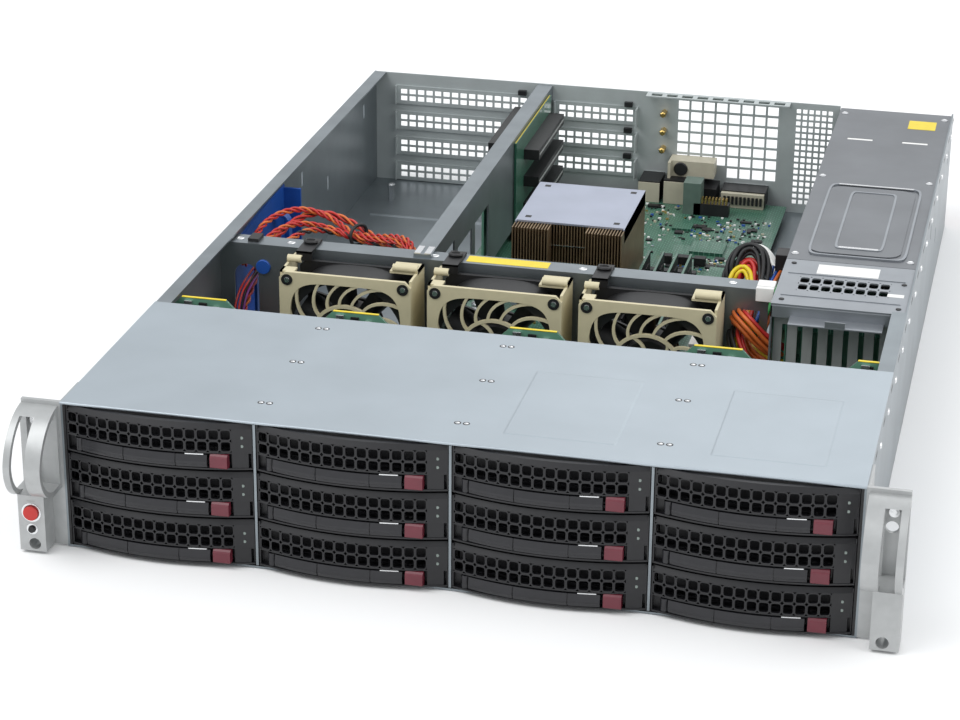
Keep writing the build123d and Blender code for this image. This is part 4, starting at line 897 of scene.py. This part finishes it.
def build_ear_parts(look):
    """Front of the control box: rings round its buttons and plain marks; and the bright heads behind
    the slots of the handles."""
    parts = [round_ring(radius + 1.0, radius, (-233.65, level), -13.3, -13.0)
             for level, radius in ((25.0, 4.6), (15.0, 2.2))]
    parts.append(boxes([(-236.0, -231.3, -13.05, -12.95, 31.5, 32.3),
                        (-234.6, -232.7, -13.05, -12.95, 20.0, 20.7)], 1))
    parts.append(turned([(-233.25, 0.0, 75.5), (233.25, 0.0, 75.5)],
                        [(1.2, -1.4), (2.8, -1.6), (3.0, -1.0), (3.0, 0.0)], "y", 20))
    piece("ear_details", parts, ["bright", "grey"])


def build_wires(look):
    """Leads: the two held ones with strands wound round them, and the loose wires beside them."""
    fan = metres([(-200, 171.9, 24), (-200, 214, 22), (-200, 256, 38), (-200, 292, 58), (-194, 330, 75),
                  (-176, 354, 80), (-148, 356, 70), (-122, 336, 60), (-95, 306, 50), (-95, 306, 15.1)])
    supply = metres([(146.7, 262.5, 38), (119, 262.5, 42), (119, 294, 56), (100, 318, 60), (84, 339, 50),
                     (84, 339, 21.1)])
    wires("fan_lead", [fan], 0.9, "black", hides=["wire_harness"])
    wound("fan_lead", fan, 1.5, 14.0, 0.0, 0.9, (("red", 2), ("orange", 1)))
    hank = []
    for turns, phase, route in (
            (11.0, 0.0, [(-209, 292, 60), (-207, 310, 77), (-199, 334, 82), (-184, 346, 83), (-166, 348, 77),
                         (-150, 340, 70), (-132, 332, 72), (-112, 322, 78), (-100, 311, 77),
                         (-96, 302, 60)]),
            (9.0, 0.7, [(-203, 289, 68), (-196, 306, 78), (-184, 328, 79), (-168, 341, 73), (-148, 337, 69),
                        (-128, 328, 72), (-108, 317, 76), (-99, 305, 72), (-104, 298, 62)]),
            (8.0, 1.9, [(-190, 288, 70), (-180, 305, 78), (-172, 327, 76), (-158, 339, 70), (-140, 335, 67),
                        (-120, 327, 70), (-104, 313, 75), (-98, 301, 64)])):
        hank += twisted(metres(route), 3, 1.4, turns, phase)
    for colour, chosen in (("red", (0, 3, 6, 1, 4)), ("orange", (7, 2, 5)), ("black", (8,))):
        wires(f"fan_hank_{colour}", [hank[strand] for strand in chosen], 0.8, colour)
    wires("fan_hank_tie", [metres([(-147, 332, 65), (-143, 337, 63.5), (-140.5, 344, 69), (-142.5, 344, 76),
                                   (-147.5, 336, 77), (-149.5, 331, 70), (-147, 332, 65)])], 1.2, "black")
    wires("supply_lead", [supply], 1.2, "orange")
    wound("supply_lead", supply, 2.9, 1.3, 0.0, 1.25, (("orange", 4), ("yellow", 2), ("blue", 1)))
    upper = [(143, 263, 47), (131, 258, 55), (121, 257, 67), (116, 265, 67), (114.5, 278, 61),
             (113, 296, 53), (98, 322, 50), (86, 337, 36), (84, 341, 24)]
    lower = [(143, 262, 30), (131, 255, 32), (121, 251, 42), (115.5, 256, 54), (114, 268, 56),
             (113, 290, 46), (104, 316, 36), (96, 330, 30), (86, 345, 23)]
    loop = [(122, 294, 34), (124.5, 314, 54), (124, 334, 71), (118, 346, 81), (111, 348, 82),
            (104, 345, 79), (100, 338, 69), (97, 336, 52), (88, 339, 34), (84, 343, 24)]
    inner = [(119, 292, 34), (120, 312, 50), (119.5, 330, 63), (115.5, 342, 73), (111, 343, 74),
             (107, 341, 71.5), (104, 336, 62), (101, 334, 48), (90, 339, 32), (84, 343, 24)]
    side = [(132, 344, 69), (132, 334, 68), (129.5, 318, 64), (128, 300, 50), (122, 292, 36), (112, 300, 22)]
    # Name, route, its shift, radius of the winding, turns, phase, thickness, colours with their counts
    for name, route, shift, radius, turns, phase, thick, colours in (
            ("gate_wires", upper, 0, 4.6, 0.6, 0.0, 1.3, (("orange", 5), ("red", 2), ("yellow", 1))),
            ("lower_wires", lower, 0, 4.2, 0.7, 0.5, 1.3, (("black", 3), ("red", 2), ("yellow", 2))),
            ("loop_wires", loop, 0, 3.4, 0.7, 0.0, 1.4, (("black", 6),)),
            ("loop_wires", inner, 0, 3.0, 0.7, 0.4, 1.4, (("red", 5),)),
            ("loop_wires", inner, (-3.5, -5, -2), 1.6, 0.6, 0.0, 1.4, (("yellow", 2),)),
            ("side_wires", side, 0, 2.4, 0.5, 0.0, 1.2, (("green", 2),)),
            ("side_wires", side, 0, 2.4, 0.5, 1.6, 1.2, (("orange", 2),)),
            ("side_wires", side, (-4, 0, 2), 1.4, 0.5, 0.0, 1.2, (("blue", 2),))):
        wound(name, metres(np.array(route) + shift), radius, turns, phase, thick, colours)
    ribbon = [(92, 402, 24), (93, 406, 44), (103, 404, 60), (116, 396, 62), (128, 380, 50), (133, 358, 28)]
    for step in range(4):
        wires(f"ribbon_wire_{step + 1}", [metres(np.array(ribbon) + (0, 2.6 * step, 0))], 1.35, "white")
    arch = [(-200, 297, 60), (-202, 268, 57), (-203, 257, 46), (-202, 251, 33), (-204, 243, 18),
            (-201, 222, 8), (-199, 196, 8), (-198, 171.9, 14)]
    for colour, count, shift, radius in (("red", 2, 0, 1.6), ("purple", 1, (5, 0, 0), 0.6),
                                         ("black", 1, (3, 3, 1), 0.6)):
        wound("arch_wires", metres(np.array(arch) + shift), radius, 0.6, 0.0, 0.8, ((colour, count),))
    housing = [(78.4, 89.6, 316.6, 361.4, 20.8, 24.6), (78.4, 89.6, 373.4, 394.6, 20.8, 26.0),
               (125.5, 136.2, 271.0, 281.0, 84.0, 86.4), (125.5, 136.2, 266.6, 269.8, 77.5, 86.4)]
    dark = [(-99.0, -91.0, 300.4, 311.6, 14.9, 21.0), (128.4, 136.9, 338.0, 352.0, 68.0, 82.0),
            (86.0, 99.0, 400.0, 416.0, BOARD_TOP, 24.0), (130.4, 136.9, 355.0, 369.5, 17.0, 30.5)]
    piece("plug_bodies", [boxes(housing), boxes(dark, 1)], ["white", "black"],
          bevel=0.4)


def build_guide(look):
    """Channel on the left wall: a back plate whose top edge rises as 72 + 6 sin(pi s / 2) to the rear,
    a floor, an end wall and two rounded fingers that hold the leads."""
    front, back, floor = 294.0, 402.0, 20.0
    share = np.linspace(0.0, 1.0, 20)
    top = np.column_stack([front + (back - front) * share, 72.0 + 6.0 * np.sin(np.pi * share / 2)])
    plate = np.concatenate([[(front, floor), (back, floor)], top[::-1]])
    parts = [swept(plate, (-217.2, -215.2)), boxes([(-217.2, -203.3, front, back, floor, 22.0),
                                                    (-217.2, -203.3, 400.0, back, floor, 76.0)])]
    hook = arc_strip((-210.0, 60.0), 7.0, 5.0, np.linspace(0, math.pi, 14), 1)
    for y in (300.0, 372.0):
        parts.append(swept(hook, (y, y + 7.0), plane="xz"))
        parts.append(boxes([(-205.0, -203.1, y, y + 7.0, 22.0, 60.5)]))
    piece("guide_channel", parts, ["blue"], hides=["cable_guide"])


# Stage

def build_stage(look):
    """Pale floor, a large soft lamp over each side, a mild even sky and the photo's camera."""
    half, level = 6000.0, -0.4
    corners = [(-half, -half, level), (half, -half, level), (half, half, level), (-half, half, level)]
    mesh = bpy.data.meshes.new("floor")
    mesh.from_pydata(metres(corners).tolist(), [], [(0, 1, 2, 3)])
    finish("floor", (look.floor_tone,) * 3, 0.9, 0.0, 0.004, 2.0, 0.0)
    mesh.materials.append(finishes["floor"])
    floor = bpy.data.objects.new("floor", mesh)
    bpy.context.scene.collection.objects.link(floor)
    for name, spot, size, power in (("key", (-1.3, -1.2, 2.3), 1.8, look.key_power),
                                    ("fill", (1.8, -0.6, 1.8), 1.6, look.key_power * 0.5),
                                    ("rear", (0.2, 1.9, 1.9), 1.6, look.key_power * 0.25)):
        data = bpy.data.lights.new(name, "AREA")
        data.energy = power
        data.size = size
        lamp = bpy.data.objects.new(name, data)
        lamp.location = spot
        lamp.rotation_euler = (-Vector(spot)).to_track_quat("-Z", "Y").to_euler()
        bpy.context.scene.collection.objects.link(lamp)
    world = bpy.data.worlds.new("sky")
    world.use_nodes = True
    nodes, links = world.node_tree.nodes, world.node_tree.links
    sky = nodes["Background"]
    sky.inputs["Color"].default_value = (0.96, 0.98, 1.0, 1.0)
    sky.inputs["Strength"].default_value = look.sky_strength
    plain = nodes.new("ShaderNodeBackground")
    plain.inputs["Color"].default_value = (1.0, 1.0, 1.0, 1.0)
    mix = nodes.new("ShaderNodeMixShader")
    path = nodes.new("ShaderNodeLightPath")
    links.new(path.outputs["Is Camera Ray"], mix.inputs["Fac"])
    links.new(sky.outputs["Background"], mix.inputs[1])
    links.new(plain.outputs["Background"], mix.inputs[2])
    links.new(mix.outputs["Shader"], nodes["World Output"].inputs["Surface"])
    scene = bpy.context.scene
    scene.world = world
    scene.view_settings.view_transform = "Standard"
    data = bpy.data.cameras.new("camera")
    data.lens = 99.04
    data.sensor_width = 36.0
    camera = bpy.data.objects.new("camera", data)
    azimuth, elevation, roll = math.radians(13.04), math.radians(22.9), math.radians(0.47)
    ahead = Vector((-math.sin(azimuth) * math.cos(elevation), math.cos(azimuth) * math.cos(elevation),
                    -math.sin(elevation)))
    across = Vector((math.cos(azimuth), math.sin(azimuth), 0.0))
    above = across.cross(ahead)
    right = math.cos(roll) * across + math.sin(roll) * above
    up = -math.sin(roll) * across + math.cos(roll) * above
    turn = Matrix((right, up, -ahead)).transposed().to_4x4()
    eye = (0.2998, -1.551, 0.6685)
    camera.matrix_world = Matrix.Translation(eye) @ turn
    scene.collection.objects.link(camera)
    scene.camera = camera


# Add-on

class ServerLook(bpy.types.PropertyGroup):
    """Settings of the visible pieces and the stage."""
    grille_columns: IntProperty(name="Grille columns", description="Openings across a bezel",
                                default=15, min=2)
    grille_rows: IntProperty(name="Grille rows", description="Openings up a bezel", default=2, min=1)
    outer_ribs: IntProperty(name="Outer ribs", description="Ribs outside the guard's ring",
                            default=18, min=3)
    inner_ribs: IntProperty(name="Inner ribs", description="Ribs inside the guard's ring",
                            default=6, min=2)
    fin_count: IntProperty(name="Fins", description="Fins of the heat sink", default=38, min=4)
    chip_count: IntProperty(name="Chips", description="Small parts on the board", default=1100, min=10)
    mesh_columns: IntProperty(name="Mesh columns", description="Openings across the rear field",
                              default=8, min=2)
    rivet_radius: FloatProperty(name="Rivet radius", description="Radius of the cover's rivets",
                                default=0.0013, unit="LENGTH", subtype="DISTANCE")
    floor_tone: FloatProperty(name="Floor tone", description="Lightness of the floor", default=0.93)
    key_power: FloatProperty(name="Key power", description="Power of the main lamp", default=34.0)
    sky_strength: FloatProperty(name="Sky strength", description="Strength of the even sky", default=0.84)


class SERVER_OT_finishes(bpy.types.Operator):
    """Makes the finishes and gives one to every CAD node."""
    bl_idname = "server.finishes"
    bl_label = "Finishes"

    def execute(self, context):
        build_finishes(context.scene.server_look)
        return {"FINISHED"}


class SERVER_OT_bay_cover(bpy.types.Operator):
    """Builds the cover over the drive bays."""
    bl_idname = "server.bay_cover"
    bl_label = "Bay cover"

    def execute(self, context):
        build_bay_cover(context.scene.server_look)
        return {"FINISHED"}


class SERVER_OT_carriers(bpy.types.Operator):
    """Builds the twelve drive carriers."""
    bl_idname = "server.carriers"
    bl_label = "Carriers"

    def execute(self, context):
        build_carriers(context.scene.server_look)
        return {"FINISHED"}


class SERVER_OT_levers(bpy.types.Operator):
    """Builds the twelve levers."""
    bl_idname = "server.levers"
    bl_label = "Levers"

    def execute(self, context):
        build_levers(context.scene.server_look)
        return {"FINISHED"}


class SERVER_OT_guards(bpy.types.Operator):
    """Builds the three fan housings."""
    bl_idname = "server.guards"
    bl_label = "Fan housings"

    def execute(self, context):
        build_guards(context.scene.server_look)
        return {"FINISHED"}


class SERVER_OT_fans(bpy.types.Operator):
    """Builds the fan bodies and rotors."""
    bl_idname = "server.fans"
    bl_label = "Fans"

    def execute(self, context):
        build_fans(context.scene.server_look)
        return {"FINISHED"}


class SERVER_OT_backplane_parts(bpy.types.Operator):
    """Builds the parts on the backplane's tabs."""
    bl_idname = "server.backplane_parts"
    bl_label = "Backplane parts"

    def execute(self, context):
        build_backplane_parts(context.scene.server_look)
        return {"FINISHED"}


class SERVER_OT_wall_parts(bpy.types.Operator):
    """Builds the fittings of the fan wall."""
    bl_idname = "server.wall_parts"
    bl_label = "Fan wall parts"

    def execute(self, context):
        build_wall_parts(context.scene.server_look)
        return {"FINISHED"}


class SERVER_OT_board_parts(bpy.types.Operator):
    """Builds the small parts of the board."""
    bl_idname = "server.board_parts"
    bl_label = "Board parts"

    def execute(self, context):
        build_board_parts(context.scene.server_look)
        return {"FINISHED"}


class SERVER_OT_heat_sink(bpy.types.Operator):
    """Builds the finned sink."""
    bl_idname = "server.heat_sink"
    bl_label = "Heat sink"

    def execute(self, context):
        build_heat_sink(context.scene.server_look)
        return {"FINISHED"}


class SERVER_OT_rear_panel(bpy.types.Operator):
    """Builds the rear sheet and the slot covers."""
    bl_idname = "server.rear_panel"
    bl_label = "Rear panel"

    def execute(self, context):
        build_rear_panel(context.scene.server_look)
        return {"FINISHED"}


class SERVER_OT_supply_top(bpy.types.Operator):
    """Builds the cap and the details of the cage."""
    bl_idname = "server.supply_top"
    bl_label = "Supply top"

    def execute(self, context):
        build_supply_top(context.scene.server_look)
        return {"FINISHED"}


class SERVER_OT_supply_faces(bpy.types.Operator):
    """Builds the rear faces of the supplies."""
    bl_idname = "server.supply_faces"
    bl_label = "Supply faces"

    def execute(self, context):
        build_supply_faces(context.scene.server_look)
        return {"FINISHED"}


class SERVER_OT_chassis_parts(bpy.types.Operator):
    """Builds the details of the tub and the risers."""
    bl_idname = "server.chassis_parts"
    bl_label = "Chassis parts"

    def execute(self, context):
        build_chassis_parts(context.scene.server_look)
        return {"FINISHED"}


class SERVER_OT_ear_parts(bpy.types.Operator):
    """Builds the details of the ears."""
    bl_idname = "server.ear_parts"
    bl_label = "Ear parts"

    def execute(self, context):
        build_ear_parts(context.scene.server_look)
        return {"FINISHED"}


class SERVER_OT_wires(bpy.types.Operator):
    """Builds the leads and the loose wires."""
    bl_idname = "server.wires"
    bl_label = "Wires"

    def execute(self, context):
        build_wires(context.scene.server_look)
        return {"FINISHED"}


class SERVER_OT_guide(bpy.types.Operator):
    """Builds the channel on the left wall."""
    bl_idname = "server.guide"
    bl_label = "Cable guide"

    def execute(self, context):
        build_guide(context.scene.server_look)
        return {"FINISHED"}


class SERVER_OT_stage(bpy.types.Operator):
    """Builds the floor, the lamps, the sky and the camera."""
    bl_idname = "server.stage"
    bl_label = "Stage"

    def execute(self, context):
        build_stage(context.scene.server_look)
        return {"FINISHED"}


OPERATORS = (
    SERVER_OT_finishes, SERVER_OT_bay_cover, SERVER_OT_carriers, SERVER_OT_levers, SERVER_OT_guards,
    SERVER_OT_fans, SERVER_OT_backplane_parts, SERVER_OT_wall_parts, SERVER_OT_board_parts,
    SERVER_OT_heat_sink, SERVER_OT_rear_panel, SERVER_OT_supply_top, SERVER_OT_supply_faces,
    SERVER_OT_chassis_parts, SERVER_OT_ear_parts, SERVER_OT_wires, SERVER_OT_guide, SERVER_OT_stage)


class SERVER_PT_pieces(bpy.types.Panel):
    """Buttons for the pieces in the 3D view's sidebar."""
    bl_label = "Rack server"
    bl_space_type = "VIEW_3D"
    bl_region_type = "UI"
    bl_category = "Server"

    def draw(self, context):
        for operator in OPERATORS:
            self.layout.operator(operator.bl_idname)


def register():
    """Adds the settings, the operators and the panel."""
    for one in (ServerLook, *OPERATORS, SERVER_PT_pieces):
        bpy.utils.register_class(one)
    bpy.types.Scene.server_look = PointerProperty(type=ServerLook)


def unregister():
    """Takes them away again."""
    del bpy.types.Scene.server_look
    for one in (SERVER_PT_pieces, *OPERATORS[::-1], ServerLook):
        bpy.utils.unregister_class(one)


def main():
    """Builds everything in order."""
    register()
    for operator in OPERATORS:
        getattr(bpy.ops.server, operator.bl_idname.removeprefix("server."))()


if __name__ == "__main__":
    main()
